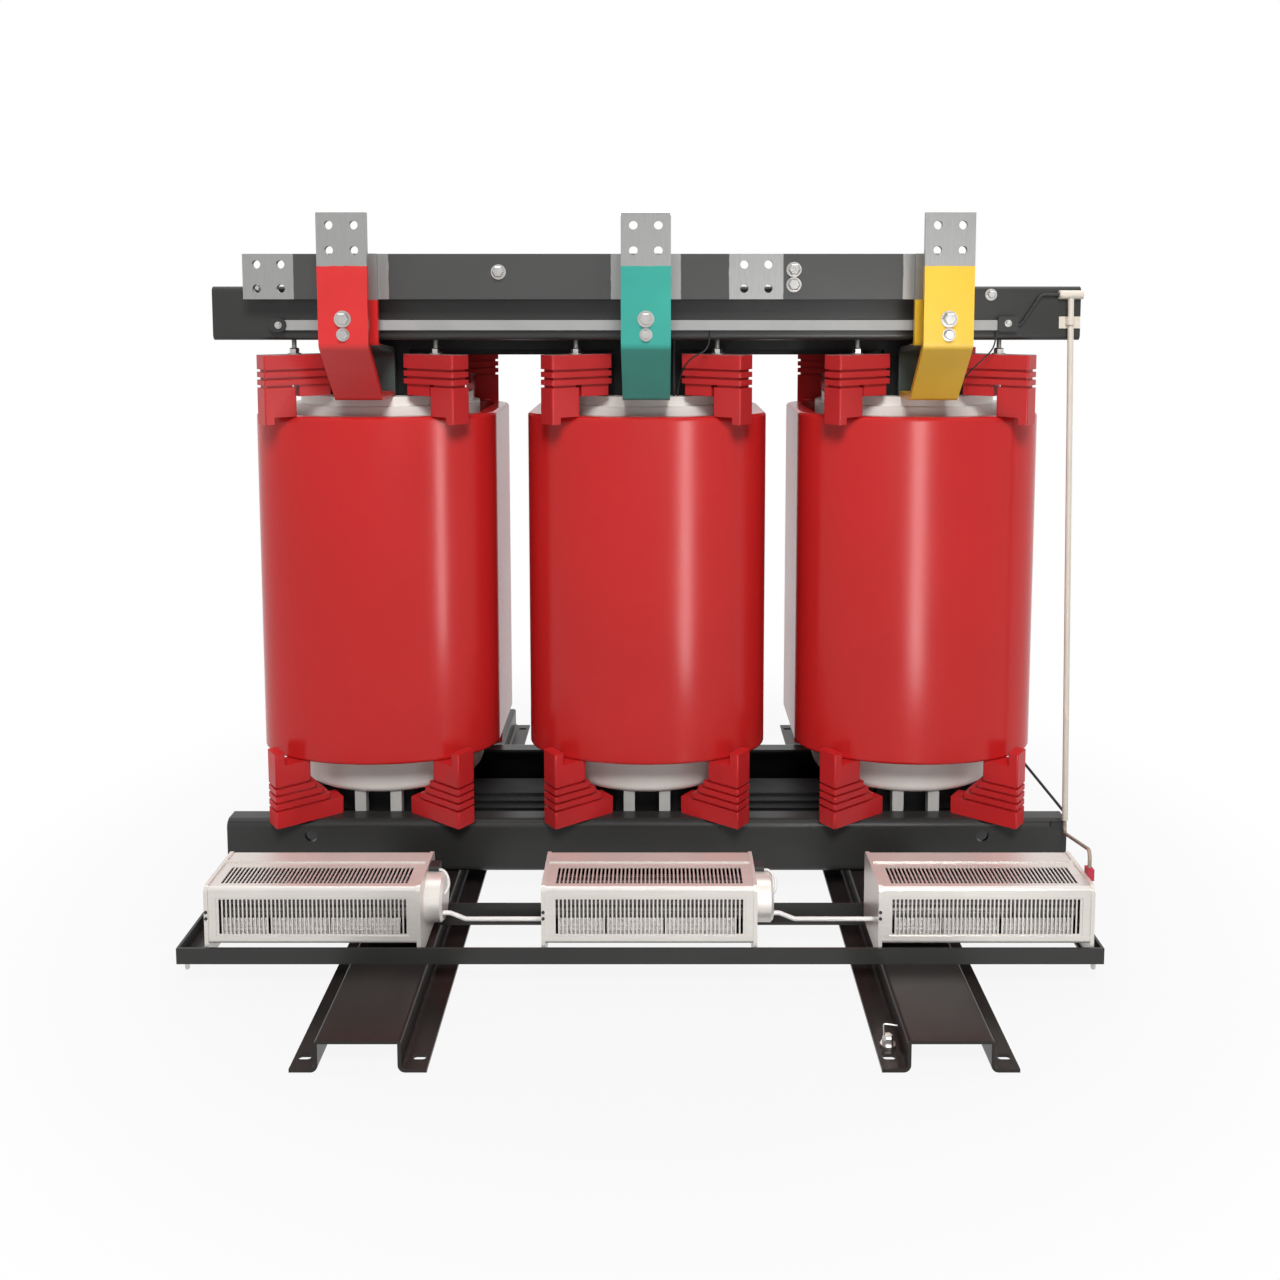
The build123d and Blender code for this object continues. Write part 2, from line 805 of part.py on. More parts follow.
conduit_x = upper_clamp_length / 2 - conduit_from_clamp_end
conduit_y = -upper_clamp_face - conduit_off_clamp - conduit_radius
conduit_foot = lower_clamp_top + conduit_above_lower_clamp
conduit_head = upper_clamp_top - conduit_below_clamp_top
tee_z = conduit_head + tee_radius / 2
conduit_start = Vector(conduit_x + conduit_lean, conduit_y, conduit_foot)
conduit_run = Vector(conduit_x, conduit_y, tee_z) - conduit_start
with BuildPart() as conduit:
    with BuildSketch(Plane(origin=conduit_start, z_dir=conduit_run)):
        Circle(conduit_radius)
    extrude(amount=conduit_run.length)
    with BuildSketch(level(conduit_x, conduit_y, conduit_head - tee_collar_below)):
        Circle(tee_radius)
    extrude(amount=tee_collar_height)
    with BuildSketch(Plane(origin=(conduit_x - tee_length / 2, conduit_y, tee_z), z_dir=(1, 0, 0))):
        Circle(tee_radius)
    extrude(amount=tee_length)
    with BuildSketch(facing_front(conduit_x, -upper_clamp_face, upper_clamp_base + saddle_above_clamp_foot)):
        Rectangle(saddle_width, saddle_height)
    extrude(amount=saddle_plate)
    split_back = -upper_clamp_face
    with BuildSketch(facing_rear(conduit_x, split_back, tee_z)):
        Rectangle(2 * tee_length, 2 * tee_length + 2 * tee_collar_below)
    extrude(amount=tee_radius, mode=Mode.SUBTRACT)
keep(conduit, "sensor_conduit")

# Thin leads of the temperature sensors
duct_lead_y = -upper_clamp_face - duct_depth / 2
tee_start = conduit_x - tee_length / 2
with BuildPart() as sensor_leads:
    add(
        lead(
            (
                (duct_right, duct_lead_y, duct_z),
                (duct_right + black_lead_rise_run, duct_lead_y, duct_z),
                (tee_start - black_lead_rise_run, conduit_y, tee_z),
                (tee_start, conduit_y, tee_z),
            ),
            black_lead_bend,
            black_lead_radius,
        ).part
    )
    coil_lead_y = -(lv_half_depth - collar_inset) + lv_wall / 2
    for place in (0, coil_pitch):
        with BuildSketch(level(place + coil_lead_aside, coil_lead_y, collar_top)):
            Circle(thin_lead_radius)
        extrude(amount=upper_clamp_base - collar_top)
    winding_end_x = coil_pitch + winding_lead_x
    winding_end_z = conduit_foot + winding_lead_above_foot
    conduit_back = conduit_y + conduit_radius
    add(
        lead(
            (
                (winding_end_x, -winding_lead_y, hv_base),
                (winding_end_x, -winding_lead_y, hv_base - winding_lead_drop),
                (conduit_start.X, conduit_back + winding_lead_tail, winding_end_z),
                (conduit_start.X, conduit_back, winding_end_z),
            ),
            black_lead_bend,
            black_lead_radius,
        ).part
    )
keep(sensor_leads, "sensor_leads")

# Angle frame of the blowers
with BuildPart() as front_bar:
    with BuildSketch(level(frame_shift, angle_side / 2 - frame_front, rail_height)):
        Rectangle(2 * frame_half, angle_side)
    extrude(amount=angle_plate)
    with BuildSketch(level(frame_shift, angle_plate / 2 - frame_front, rail_height)):
        Rectangle(2 * frame_half, angle_plate)
    extrude(amount=angle_side)
keep(front_bar, "fan_frame_front_bar")

with BuildPart() as rear_bar:
    with BuildSketch(level(frame_shift, -frame_rear - angle_side / 2, rail_height)):
        Rectangle(2 * frame_half, angle_side)
    extrude(amount=angle_plate)
    with BuildSketch(level(frame_shift, -frame_rear - angle_plate / 2, rail_height)):
        Rectangle(2 * frame_half, angle_plate)
    extrude(amount=angle_side)
keep(rear_bar, "fan_frame_rear_bar")

end_middle = -(frame_front + frame_rear) / 2
frame_depth = frame_front - frame_rear
with BuildPart() as end_bars:
    with BuildSketch(level(frame_shift, end_middle, rail_height)):
        with GridLocations(2 * frame_half - angle_side, 0, 2, 1):
            Rectangle(angle_side, frame_depth - 2 * angle_side)
    extrude(amount=angle_plate)
    with BuildSketch(level(frame_shift, end_middle, rail_height + angle_plate)):
        with GridLocations(2 * frame_half - angle_plate, 0, 2, 1):
            Rectangle(angle_plate, frame_depth - 2 * angle_plate)
    extrude(amount=angle_side - angle_plate)
keep(end_bars, "fan_frame_end_bars")

# Blowers and their wheels
for name, place in zip(sides, fan_places):
    keep(fan_housing(place, name != "right"), name + "_fan_housing")
    keep(impeller(place), name + "_fan_impeller")

# White cables from each motor to the next blower
cable_y = -fan_centre - cable_aside
cable_start_z = wheel_axis_z - motor_radius + cable_start_above_motor_foot
cable_z = cable_start_z - cable_level
with BuildPart() as link_cables:
    for place in fan_places[:-1]:
        motor_end = place + fan_width / 2 + motor_length
        next_plate = place + fan_pitch - fan_width / 2
        add(
            lead(
                (
                    (motor_end, cable_y, cable_start_z),
                    (motor_end + cable_lead_out, cable_y, cable_start_z),
                    (motor_end + cable_lead_out + cable_run, cable_y, cable_z),
                    (next_plate, cable_y, cable_z),
                ),
                cable_bend,
                cable_radius,
            ).part
        )
keep(link_cables, "fan_link_cables")

# Feed lead from the conduit to the plug on the last blower
plug_x = fan_places[-1] + fan_width / 2
plug_y = -fan_rear - plug_from_rear
plug_base = fan_base + fan_height - plug_overlap
plug_top = plug_base + plug_height
feed_end_x = plug_x + plug_width / 2
with BuildPart() as feed_lead:
    with BuildSketch(level(feed_end_x, plug_y, plug_base)):
        Rectangle(plug_width, plug_depth)
    extrude(amount=plug_height)
    add(
        lead(
            (
                tuple(conduit_start),
                (conduit_start.X, conduit_y, conduit_foot - feed_tail),
                (feed_end_x, plug_y, plug_top + feed_crest),
                (feed_end_x, plug_y, plug_top),
            ),
            feed_bend,
            feed_radius,
        ).part
    )
keep(feed_lead, "fan_feed_lead")
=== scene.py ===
# %% [markdown]
# # A dry-type power transformer, dressed for its portrait
# The real object is a three-phase transformer with cast-resin windings that stands on folded rails, with
# three cross-flow blowers in front of it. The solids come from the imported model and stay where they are.
# This lesson gives them their finishes, adds the small fastenings, and sets up the floor, the light and
# the camera. Everything is in metres, in the frame of the solids: +Z is up, and the blowers are towards
# -Y.

import math
from collections import namedtuple

import bmesh
import bpy
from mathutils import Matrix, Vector


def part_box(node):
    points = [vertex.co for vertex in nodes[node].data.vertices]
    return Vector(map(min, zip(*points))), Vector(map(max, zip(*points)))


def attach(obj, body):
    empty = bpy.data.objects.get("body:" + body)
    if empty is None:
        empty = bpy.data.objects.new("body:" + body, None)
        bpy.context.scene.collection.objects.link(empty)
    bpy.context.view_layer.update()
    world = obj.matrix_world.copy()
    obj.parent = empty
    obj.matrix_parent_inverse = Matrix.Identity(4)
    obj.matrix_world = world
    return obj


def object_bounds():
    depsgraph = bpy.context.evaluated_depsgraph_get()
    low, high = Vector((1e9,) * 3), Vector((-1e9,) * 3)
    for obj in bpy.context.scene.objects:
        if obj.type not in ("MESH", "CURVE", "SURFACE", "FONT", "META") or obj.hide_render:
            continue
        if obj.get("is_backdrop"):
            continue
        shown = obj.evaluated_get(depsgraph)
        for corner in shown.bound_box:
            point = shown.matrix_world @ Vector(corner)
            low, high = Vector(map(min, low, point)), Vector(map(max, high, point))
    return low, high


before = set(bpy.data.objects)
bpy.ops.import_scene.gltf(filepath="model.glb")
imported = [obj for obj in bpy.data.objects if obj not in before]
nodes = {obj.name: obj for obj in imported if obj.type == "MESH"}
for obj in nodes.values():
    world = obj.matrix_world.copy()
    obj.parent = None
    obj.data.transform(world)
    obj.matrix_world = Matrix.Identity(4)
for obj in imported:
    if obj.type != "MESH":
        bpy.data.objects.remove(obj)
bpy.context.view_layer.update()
BODY = "transformer"

# %% [markdown]
# ## Places that the pieces share
# Most places are read from the boxes of the solids, so that a bolt sits on its bar even if the bar is
# moved in the source. Only the few sizes that no box can give are written as numbers, such as where paint
# ends on a bar.

# %% Read the main places
SIDES = ("left", "middle", "right")
coil_x = {}
for side in SIDES:
    low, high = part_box(side + "_hv_coil")
    coil_x[side] = (low.x + high.x) / 2
clamp_low, clamp_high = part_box("front_upper_clamp")
lower_clamp_low, lower_clamp_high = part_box("front_lower_clamp")
neutral_low, neutral_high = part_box("neutral_bar")
bar_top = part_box("middle_phase_bar")[1].z
rail_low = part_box("right_base_rail")[0]
print("windings at", {k: round(v, 3) for k, v in coil_x.items()})

# %% [markdown]
# ## Shader groups
# Paint, resin and metal need the same two effects: a slow change of tone, and fine grain in one
# direction. Each is built once as a node group with named inputs, and every material places it with its
# own values. A third group, a band between two positions, tells where a bar is left bare or where the
# inside of a box begins.

# %% Helpers for node trees
def start_group(name, inputs, outputs):
    group = bpy.data.node_groups.new(name, "ShaderNodeTree")
    for label, kind, default in inputs:
        socket = group.interface.new_socket(name=label, in_out="INPUT", socket_type=kind)
        socket.default_value = default
    for label, kind in outputs:
        group.interface.new_socket(name=label, in_out="OUTPUT", socket_type=kind)
    return group, group.nodes.new("NodeGroupInput"), group.nodes.new("NodeGroupOutput")


def math_node(tree, operation, first, second, clamp=False):
    """A math node on two numbers or sockets; works in shader and geometry trees alike."""
    node = tree.nodes.new("ShaderNodeMath")
    node.operation = operation
    node.use_clamp = clamp
    for socket, value in zip(node.inputs, (first, second)):
        if isinstance(value, (int, float)):
            socket.default_value = value
        else:
            tree.links.new(value, socket)
    return node.outputs[0]


# %% Slow tone and fine relief
tone_group, tone_in, tone_out = start_group(
    "Slow tone",
    [("Scale", "NodeSocketFloat", 6.0), ("Relief Scale", "NodeSocketFloat", 180.0)],
    [("Tone", "NodeSocketFloat"), ("Relief", "NodeSocketFloat")],
)
place = tone_group.nodes.new("ShaderNodeTexCoord")
slow = tone_group.nodes.new("ShaderNodeTexNoise")
slow.inputs["Detail"].default_value = 5.0
slow.inputs["Roughness"].default_value = 0.55
fine = tone_group.nodes.new("ShaderNodeTexNoise")
fine.inputs["Detail"].default_value = 2.0
tone_group.links.new(place.outputs["Object"], slow.inputs["Vector"])
tone_group.links.new(place.outputs["Object"], fine.inputs["Vector"])
tone_group.links.new(tone_in.outputs["Scale"], slow.inputs["Scale"])
tone_group.links.new(tone_in.outputs["Relief Scale"], fine.inputs["Scale"])
spread = tone_group.nodes.new("ShaderNodeMapRange")
spread.inputs["From Min"].default_value = 0.3
spread.inputs["From Max"].default_value = 0.7
tone_group.links.new(slow.outputs[0], spread.inputs["Value"])
tone_group.links.new(spread.outputs[0], tone_out.inputs["Tone"])
tone_group.links.new(fine.outputs[0], tone_out.inputs["Relief"])
print("group", tone_group.name)

# %% Grain that runs one way
grain_group, grain_in, grain_out = start_group(
    "Rolled grain",
    [("Stretch", "NodeSocketVector", (1.0, 1.0, 1.0)), ("Scale", "NodeSocketFloat", 40.0)],
    [("Grain", "NodeSocketFloat")],
)
place = grain_group.nodes.new("ShaderNodeTexCoord")
stretch = grain_group.nodes.new("ShaderNodeVectorMath")
stretch.operation = "MULTIPLY"
streak = grain_group.nodes.new("ShaderNodeTexNoise")
streak.inputs["Detail"].default_value = 3.0
grain_group.links.new(place.outputs["Object"], stretch.inputs[0])
grain_group.links.new(grain_in.outputs["Stretch"], stretch.inputs[1])
grain_group.links.new(stretch.outputs[0], streak.inputs["Vector"])
grain_group.links.new(grain_in.outputs["Scale"], streak.inputs["Scale"])
grain_group.links.new(streak.outputs[0], grain_out.inputs["Grain"])
print("group", grain_group.name)

# %% Band between two positions
band_group, band_in, band_out = start_group(
    "Band",
    [
        ("Position", "NodeSocketFloat", 0.0),
        ("Low", "NodeSocketFloat", 0.0),
        ("High", "NodeSocketFloat", 1.0),
        ("Feather", "NodeSocketFloat", 0.001),
    ],
    [("Mask", "NodeSocketFloat")],
)
above = math_node(band_group, "SUBTRACT", band_in.outputs["Position"], band_in.outputs["Low"])
below = math_node(band_group, "SUBTRACT", band_in.outputs["High"], band_in.outputs["Position"])
nearest = math_node(band_group, "MINIMUM", above, below)
ramp = math_node(band_group, "DIVIDE", nearest, band_in.outputs["Feather"])
half_up = math_node(band_group, "ADD", ramp, 0.5, clamp=True)
band_group.links.new(half_up, band_out.inputs["Mask"])
print("group", band_group.name)


# %% [markdown]
# ## Finishes
# A finish starts from one colour, and the slow tone moves it a little lighter and darker, as paint and
# resin do. The same tone changes the roughness, so a highlight breaks up. The relief feeds a Bump node
# with a small distance. Values that are the same all over, such as the coat, are set on the shader
# itself.

# %% Place groups and mix their results
def place_group(tree, group, **values):
    node = tree.nodes.new("ShaderNodeGroup")
    node.node_tree = group
    for label, value in values.items():
        node.inputs[label.replace("_", " ")].default_value = value
    return node


def mix_colour(tree, factor, first, second):
    """Each colour is a tuple or a socket."""
    node = tree.nodes.new("ShaderNodeMix")
    node.data_type = "RGBA"
    tree.links.new(factor, node.inputs["Factor"])
    for socket, value in ((node.inputs[6], first), (node.inputs[7], second)):
        if isinstance(value, tuple):
            socket.default_value = (*value, 1.0)
        else:
            tree.links.new(value, socket)
    return node.outputs[2]


def mix_value(tree, factor, first, second):
    node = tree.nodes.new("ShaderNodeMapRange")
    tree.links.new(factor, node.inputs["Value"])
    node.inputs["To Min"].default_value = first
    node.inputs["To Max"].default_value = second
    return node.outputs[0]


def object_axes(tree):
    place = tree.nodes.new("ShaderNodeTexCoord")
    axes = tree.nodes.new("ShaderNodeSeparateXYZ")
    tree.links.new(place.outputs["Object"], axes.inputs[0])
    return axes.outputs


def band_mask(tree, position, low, high, feather):
    band = place_group(tree, band_group, Low=low, High=high, Feather=feather)
    tree.links.new(position, band.inputs["Position"])
    return band.outputs[0]


# %% Build one finish
ROUGH_SPREAD = 0.14
GRAIN_SHARE = 0.5
GRAIN_SHADE = 0.72
RELIEF_DEPTH = 0.0006
COAT_ROUGH = 0.12


def shade(colour, share):
    return tuple(min(1.0, channel * share) for channel in colour)


def finish_of(name, colour, rough, metal=0.0, vary=0.12, scale=6.0, relief=180.0, bump=0.08, coat=0.0,
              grain=None, grain_scale=40.0, gloss=0.5):
    """Returns a material with its tree, its shader and the colour that a later step may change."""
    material = bpy.data.materials.new(name)
    material.use_nodes = True
    tree = material.node_tree
    shader = next(n for n in tree.nodes if n.type == "BSDF_PRINCIPLED")
    tone = place_group(tree, tone_group, Scale=scale, Relief_Scale=relief)
    base = mix_colour(tree, tone.outputs["Tone"], shade(colour, 1.0 - vary), shade(colour, 1.0 + vary))
    roughness = mix_value(tree, tone.outputs["Tone"], rough * (1.0 - ROUGH_SPREAD),
                          min(1.0, rough * (1.0 + ROUGH_SPREAD)))
    height = tone.outputs["Relief"]
    if grain:
        streaks = place_group(tree, grain_group, Stretch=grain, Scale=grain_scale)
        amount = mix_value(tree, streaks.outputs["Grain"], 0.0, GRAIN_SHARE)
        base = mix_colour(tree, amount, base, shade(colour, GRAIN_SHADE))
        height = math_node(tree, "ADD", height, streaks.outputs["Grain"])
    tree.links.new(base, shader.inputs["Base Color"])
    tree.links.new(roughness, shader.inputs["Roughness"])
    shader.inputs["Metallic"].default_value = metal
    shader.inputs["Specular IOR Level"].default_value = gloss
    if coat:
        shader.inputs["Coat Weight"].default_value = coat
        shader.inputs["Coat Roughness"].default_value = COAT_ROUGH
    relief_node = tree.nodes.new("ShaderNodeBump")
    relief_node.inputs["Strength"].default_value = bump
    relief_node.inputs["Distance"].default_value = RELIEF_DEPTH
    tree.links.new(height, relief_node.inputs["Height"])
    tree.links.new(relief_node.outputs["Normal"], shader.inputs["Normal"])
    return material, tree, shader, base


def plain_finish(name, colour, rough, **values):
    return finish_of(name, colour, rough, **values)[0]


# %% Resin finishes
red_resin = plain_finish("red winding resin", (0.50, 0.016, 0.016), 0.21, vary=0.05, scale=3.0, bump=0.012,
                         gloss=0.26)
pale_resin = plain_finish("pale winding resin", (0.74, 0.71, 0.67), 0.42, vary=0.06, scale=8.0, bump=0.06)
block_resin = plain_finish("red block resin", (0.50, 0.018, 0.020), 0.40, vary=0.10, scale=12.0,
                           relief=320.0, bump=0.08, gloss=0.3)
post_resin = plain_finish("grey post resin", (0.42, 0.42, 0.40), 0.5, vary=0.10, scale=14.0)
standoff_resin = plain_finish("brown standoff resin", (0.28, 0.045, 0.035), 0.4, vary=0.12, scale=14.0,
                              coat=0.2)
link_cover = plain_finish("red link sleeve", (0.36, 0.03, 0.025), 0.45, vary=0.12, scale=16.0)
print("resin finishes", 6)

# %% [markdown]
# ## Painted steel and the sheet stack
# The clamps and rails are folded steel with satin paint, so their grain runs along the fold. The holes in
# the lower clamps look dark in the photograph. Two bands, one on depth and one on height, mask the inside
# of these clamps and put a painted shade there: a near-black colour in place of the paint, standing in for
# the shade that falls in these recesses. Bands do it because the inside and the outside are one mesh with
# one material.
# The core is a stack of thin coated sheets. Hundreds of sheets as solids would be heavy, so a Wave
# texture draws their edges.

# %% Clamp and rail finishes
CLAMP_PAINT = dict(colour=(0.030, 0.030, 0.029), rough=0.34, vary=0.14, scale=4.0, bump=0.05,
                   grain=(2.0, 30.0, 30.0), grain_scale=8.0, gloss=0.35)
CLAMP_SKIN = 0.003
CLAMP_LIP = 0.004
CLAMP_FEATHER = 0.001
# Painted shade: a near-black colour for the shaded inside of the lower clamps, not the colour of their
# paint.
CLAMP_INSIDE_SHADE = (0.004, 0.004, 0.004)
clamp_paint = plain_finish("charcoal paint", **CLAMP_PAINT)
rail_paint = plain_finish("brown black paint", (0.020, 0.016, 0.015), 0.34, vary=0.20, scale=7.0, bump=0.05,
                          grain=(30.0, 1.5, 30.0), grain_scale=9.0, gloss=0.3)
lower_clamp_paint, tree, shader, base = finish_of("charcoal paint with painted shade inside", **CLAMP_PAINT)
axes = object_axes(tree)
clamp_reach = -lower_clamp_low.y
behind = band_mask(tree, axes["Y"], CLAMP_SKIN - clamp_reach, clamp_reach - CLAMP_SKIN, CLAMP_FEATHER)
under = band_mask(tree, axes["Z"], 0.0, lower_clamp_high.z - CLAMP_LIP, CLAMP_FEATHER)
hidden = math_node(tree, "MULTIPLY", behind, under)
# Painted shade: the masked inside of the lower clamps gets the near-black colour.
tree.links.new(mix_colour(tree, hidden, base, CLAMP_INSIDE_SHADE), shader.inputs["Base Color"])
print("inside of the lower clamps from y", round(CLAMP_SKIN - clamp_reach, 3))

# %% Sheet stack of the core
SHEET_EDGE = (0.030, 0.030, 0.030)
SHEET_EDGE_SHARE = 0.75
core_steel, tree, shader, base = finish_of("coated sheet stack", (0.010, 0.010, 0.011), 0.55, vary=0.15,
                                           scale=10.0, bump=0.03, gloss=0.15)
place = tree.nodes.new("ShaderNodeTexCoord")
sheets = tree.nodes.new("ShaderNodeTexWave")
sheets.bands_direction = "Y"
sheets.inputs["Scale"].default_value = 95.0
sheets.inputs["Distortion"].default_value = 0.6
sheets.inputs["Detail"].default_value = 1.0
tree.links.new(place.outputs["Object"], sheets.inputs["Vector"])
edge_mask = mix_value(tree, sheets.outputs["Fac"], 0.0, SHEET_EDGE_SHARE)
tree.links.new(mix_colour(tree, edge_mask, base, SHEET_EDGE), shader.inputs["Base Color"])
print("steel finishes", 4)


# %% [markdown]
# ## Bars that are painted in part
# The low-voltage bars carry the phase colour, and their contact pads are left in bare tinned metal. One
# material holds both: a band mask on the height of the bar changes colour, metal and roughness together.
# A little noise on the position keeps the edge of the paint from looking like a ruler's.

# %% Build a bar with bare bands
BELOW_ALL, ABOVE_ALL = -1.0, 2.0
PAINT_EDGE = 0.0012
TINNED_DARK, TINNED_LIGHT = (0.30, 0.30, 0.295), (0.38, 0.38, 0.37)
TINNED_ROUGH = 0.46
TINNED_METAL = 0.7


def bar_finish(name, paint, bands, rough=0.38, coat=0.15, foot=None):
    """bands holds an axis with two positions; foot may hold a height and the colour below it."""
    material, tree, shader, base = finish_of(name, paint, rough, vary=0.07, scale=9.0, bump=0.04, coat=coat)
    axes = object_axes(tree)
    wobble = place_group(tree, tone_group, Scale=60.0, Relief_Scale=900.0)
    bare = None
    for axis, low, high in bands:
        shift = math_node(tree, "MULTIPLY", wobble.outputs["Tone"], PAINT_EDGE)
        mask = band_mask(tree, math_node(tree, "ADD", axes[axis], shift), low, high, PAINT_EDGE)
        bare = mask if bare is None else math_node(tree, "MAXIMUM", bare, mask)
    if foot:
        foot_top, foot_colour = foot
        under = band_mask(tree, axes["Z"], BELOW_ALL, foot_top, PAINT_EDGE)
        base = mix_colour(tree, under, base, foot_colour)
    streaks = place_group(tree, grain_group, Stretch=(20.0, 20.0, 1.5), Scale=30.0)
    tinned = mix_colour(tree, streaks.outputs["Grain"], TINNED_DARK, TINNED_LIGHT)
    tree.links.new(mix_colour(tree, bare, base, tinned), shader.inputs["Base Color"])
    tree.links.new(math_node(tree, "MULTIPLY", bare, TINNED_METAL), shader.inputs["Metallic"])
    tree.links.new(mix_value(tree, bare, rough, TINNED_ROUGH), shader.inputs["Roughness"])
    return material


# %% Phase bars and the leads behind them
PHASE_COLOURS = {
    "red": (0.60, 0.022, 0.022),
    "green": (0.020, 0.30, 0.245),
    "yellow": (0.80, 0.50, 0.035),
}
BARE_PAD_HEIGHT = 0.084
LEAD_FOOT = (0.985, (0.055, 0.075, 0.070))
bare_pad = [("Z", bar_top - BARE_PAD_HEIGHT, ABOVE_ALL)]
bare_top = [("Z", neutral_low.z, ABOVE_ALL)]
phase_finish = {}
lead_finish = {}
for side, (colour_name, paint) in zip(SIDES, PHASE_COLOURS.items()):
    phase_finish[side] = bar_finish(colour_name + " phase paint", paint, bare_pad)
    lead_finish[side] = bar_finish(colour_name + " lead paint", paint, bare_top, foot=LEAD_FOOT)
print("phase and lead finishes", len(phase_finish) + len(lead_finish))

# %% Neutral bar, and blocks with steel screws in them
SCREW_STEEL_HEIGHT = 0.0245
END_PAD_LENGTH = 0.085
END_PAD_START = -0.70
MIDDLE_PAD = (0.138, 0.228)
LEAD_CONTACT_HALF = 0.058
screw_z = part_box("middle_upper_blocks")[1].z - SCREW_STEEL_HEIGHT
upper_block = bar_finish("block resin and steel screws", (0.46, 0.018, 0.020), [("Z", screw_z, ABOVE_ALL)],
                         rough=0.46, coat=0.0)
bare_places = [("X", END_PAD_START, neutral_low.x + END_PAD_LENGTH), ("X", *MIDDLE_PAD)]
bare_places += [("X", x - LEAD_CONTACT_HALF, x + LEAD_CONTACT_HALF) for x in coil_x.values()]
neutral_paint = bar_finish("charcoal bar paint", (0.042, 0.042, 0.041), bare_places)
print("bare places on the neutral bar", len(bare_places))

# %% [markdown]
# ## Blower sheet
# The blowers are boxes of bright sheet with rows of slots, and between the slats one looks into the box.
# Faces could be picked by hand for a second material, but they would have to be picked again after each
# change of the solid. So a mask of three bands, one for each axis, marks what lies inside the walls and
# gives it a dark colour, a painted shade that stands in for the shade inside the boxes. The slats keep the
# bright sheet, because they lie outside the mask.

# %% Blower housings
SHELL_SKIN = 0.0042
SHELL_FOOT = 0.0255
SHELL_FEATHER = 0.0004
# Painted shade: a dark colour for the shaded inside of the blower boxes, not the colour of the sheet.
SHELL_INSIDE_SHADE = (0.030, 0.027, 0.026)
fan_sheet, tree, shader, base = finish_of("blower sheet", (0.76, 0.725, 0.68), 0.34, metal=0.45, vary=0.05,
                                          scale=8.0, bump=0.03, grain=(1.5, 40.0, 40.0), grain_scale=10.0)
axes = object_axes(tree)
inside = None
for side in SIDES:
    low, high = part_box(side + "_fan_impeller")
    run = band_mask(tree, axes["X"], low.x + SHELL_SKIN, high.x - SHELL_SKIN, SHELL_FEATHER)
    inside = run if inside is None else math_node(tree, "MAXIMUM", inside, run)
low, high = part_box("middle_fan_housing")
for axis, start, end in (("Y", low.y + SHELL_SKIN, high.y - SHELL_SKIN),
                         ("Z", low.z + SHELL_FOOT, high.z - SHELL_SKIN)):
    depth = band_mask(tree, axes[axis], start, end, SHELL_FEATHER)
    inside = math_node(tree, "MULTIPLY", inside, depth)
# Painted shade: what lies inside the walls gets the dark colour.
tree.links.new(mix_colour(tree, inside, base, SHELL_INSIDE_SHADE), shader.inputs["Base Color"])
print("blower sheet with painted shade inside")

# %% [markdown]
# ## Plastics, sheaths and small metal
# The strip, the conduit and the leads are plain plastics, and the fastenings are plated steel or brass.
# Only the feed lead has two colours: its plug is red. The plug is part of the same solid as the lead, so
# two bands mask it, by depth and by height.

# %% Wheels, plastics, sheaths and fastening metal
lip_metal = plain_finish("guide lip sheet", (0.86, 0.82, 0.78), 0.45, vary=0.06, scale=20.0, bump=0.03)
wheel_metal = plain_finish("wheel sheet", (0.27, 0.255, 0.245), 0.42, metal=0.5, vary=0.10, scale=20.0,
                           bump=0.03)
duct_plastic = plain_finish("grey strip", (0.33, 0.33, 0.325), 0.5, vary=0.08, scale=12.0)
conduit_plastic = plain_finish("cream conduit", (0.66, 0.60, 0.52), 0.42, vary=0.06, scale=12.0)
black_sheath = plain_finish("black sheath", (0.018, 0.018, 0.018), 0.5, vary=0.2, scale=30.0)
white_sheath = plain_finish("white sheath", (0.72, 0.71, 0.69), 0.45, vary=0.05, scale=30.0)
plated_steel = plain_finish("plated steel", (0.52, 0.51, 0.49), 0.30, metal=1.0, vary=0.10, scale=60.0,
                            bump=0.06)
brass_stud = plain_finish("brass stud", (0.62, 0.42, 0.16), 0.32, metal=1.0, vary=0.12, scale=60.0,
                          bump=0.06)
print("plain finishes", 8)

# %% Feed lead with its plug
PLUG_DEPTH = 0.0165
PLUG_TOP = 0.1773
PLUG_FEATHER = 0.0004
PLUG_RED = (0.45, 0.02, 0.05)
feed_finish, tree, shader, base = finish_of("feed lead with red plug", (0.33, 0.265, 0.21), 0.5, vary=0.12,
                                            scale=30.0)
axes = object_axes(tree)
plug_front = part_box("fan_feed_lead")[0].y
front = band_mask(tree, axes["Y"], BELOW_ALL, plug_front + PLUG_DEPTH, PLUG_FEATHER)
under = band_mask(tree, axes["Z"], 0.0, PLUG_TOP, PLUG_FEATHER)
plug_mask = math_node(tree, "MULTIPLY", front, under)
tree.links.new(mix_colour(tree, plug_mask, base, PLUG_RED), shader.inputs["Base Color"])
print("plug ends at y", round(plug_front + PLUG_DEPTH, 3))

# %% [markdown]
# ## Dress the solids
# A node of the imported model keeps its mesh, so it only gets a material and, where it is a cast block or
# post, two live modifiers: Weld joins the loose triangles, and Bevel rounds the sharp edges by a
# millimetre so that they catch the light. Flat bars with holes are left crisp, because a bevel on long
# thin triangles shows in their shading.

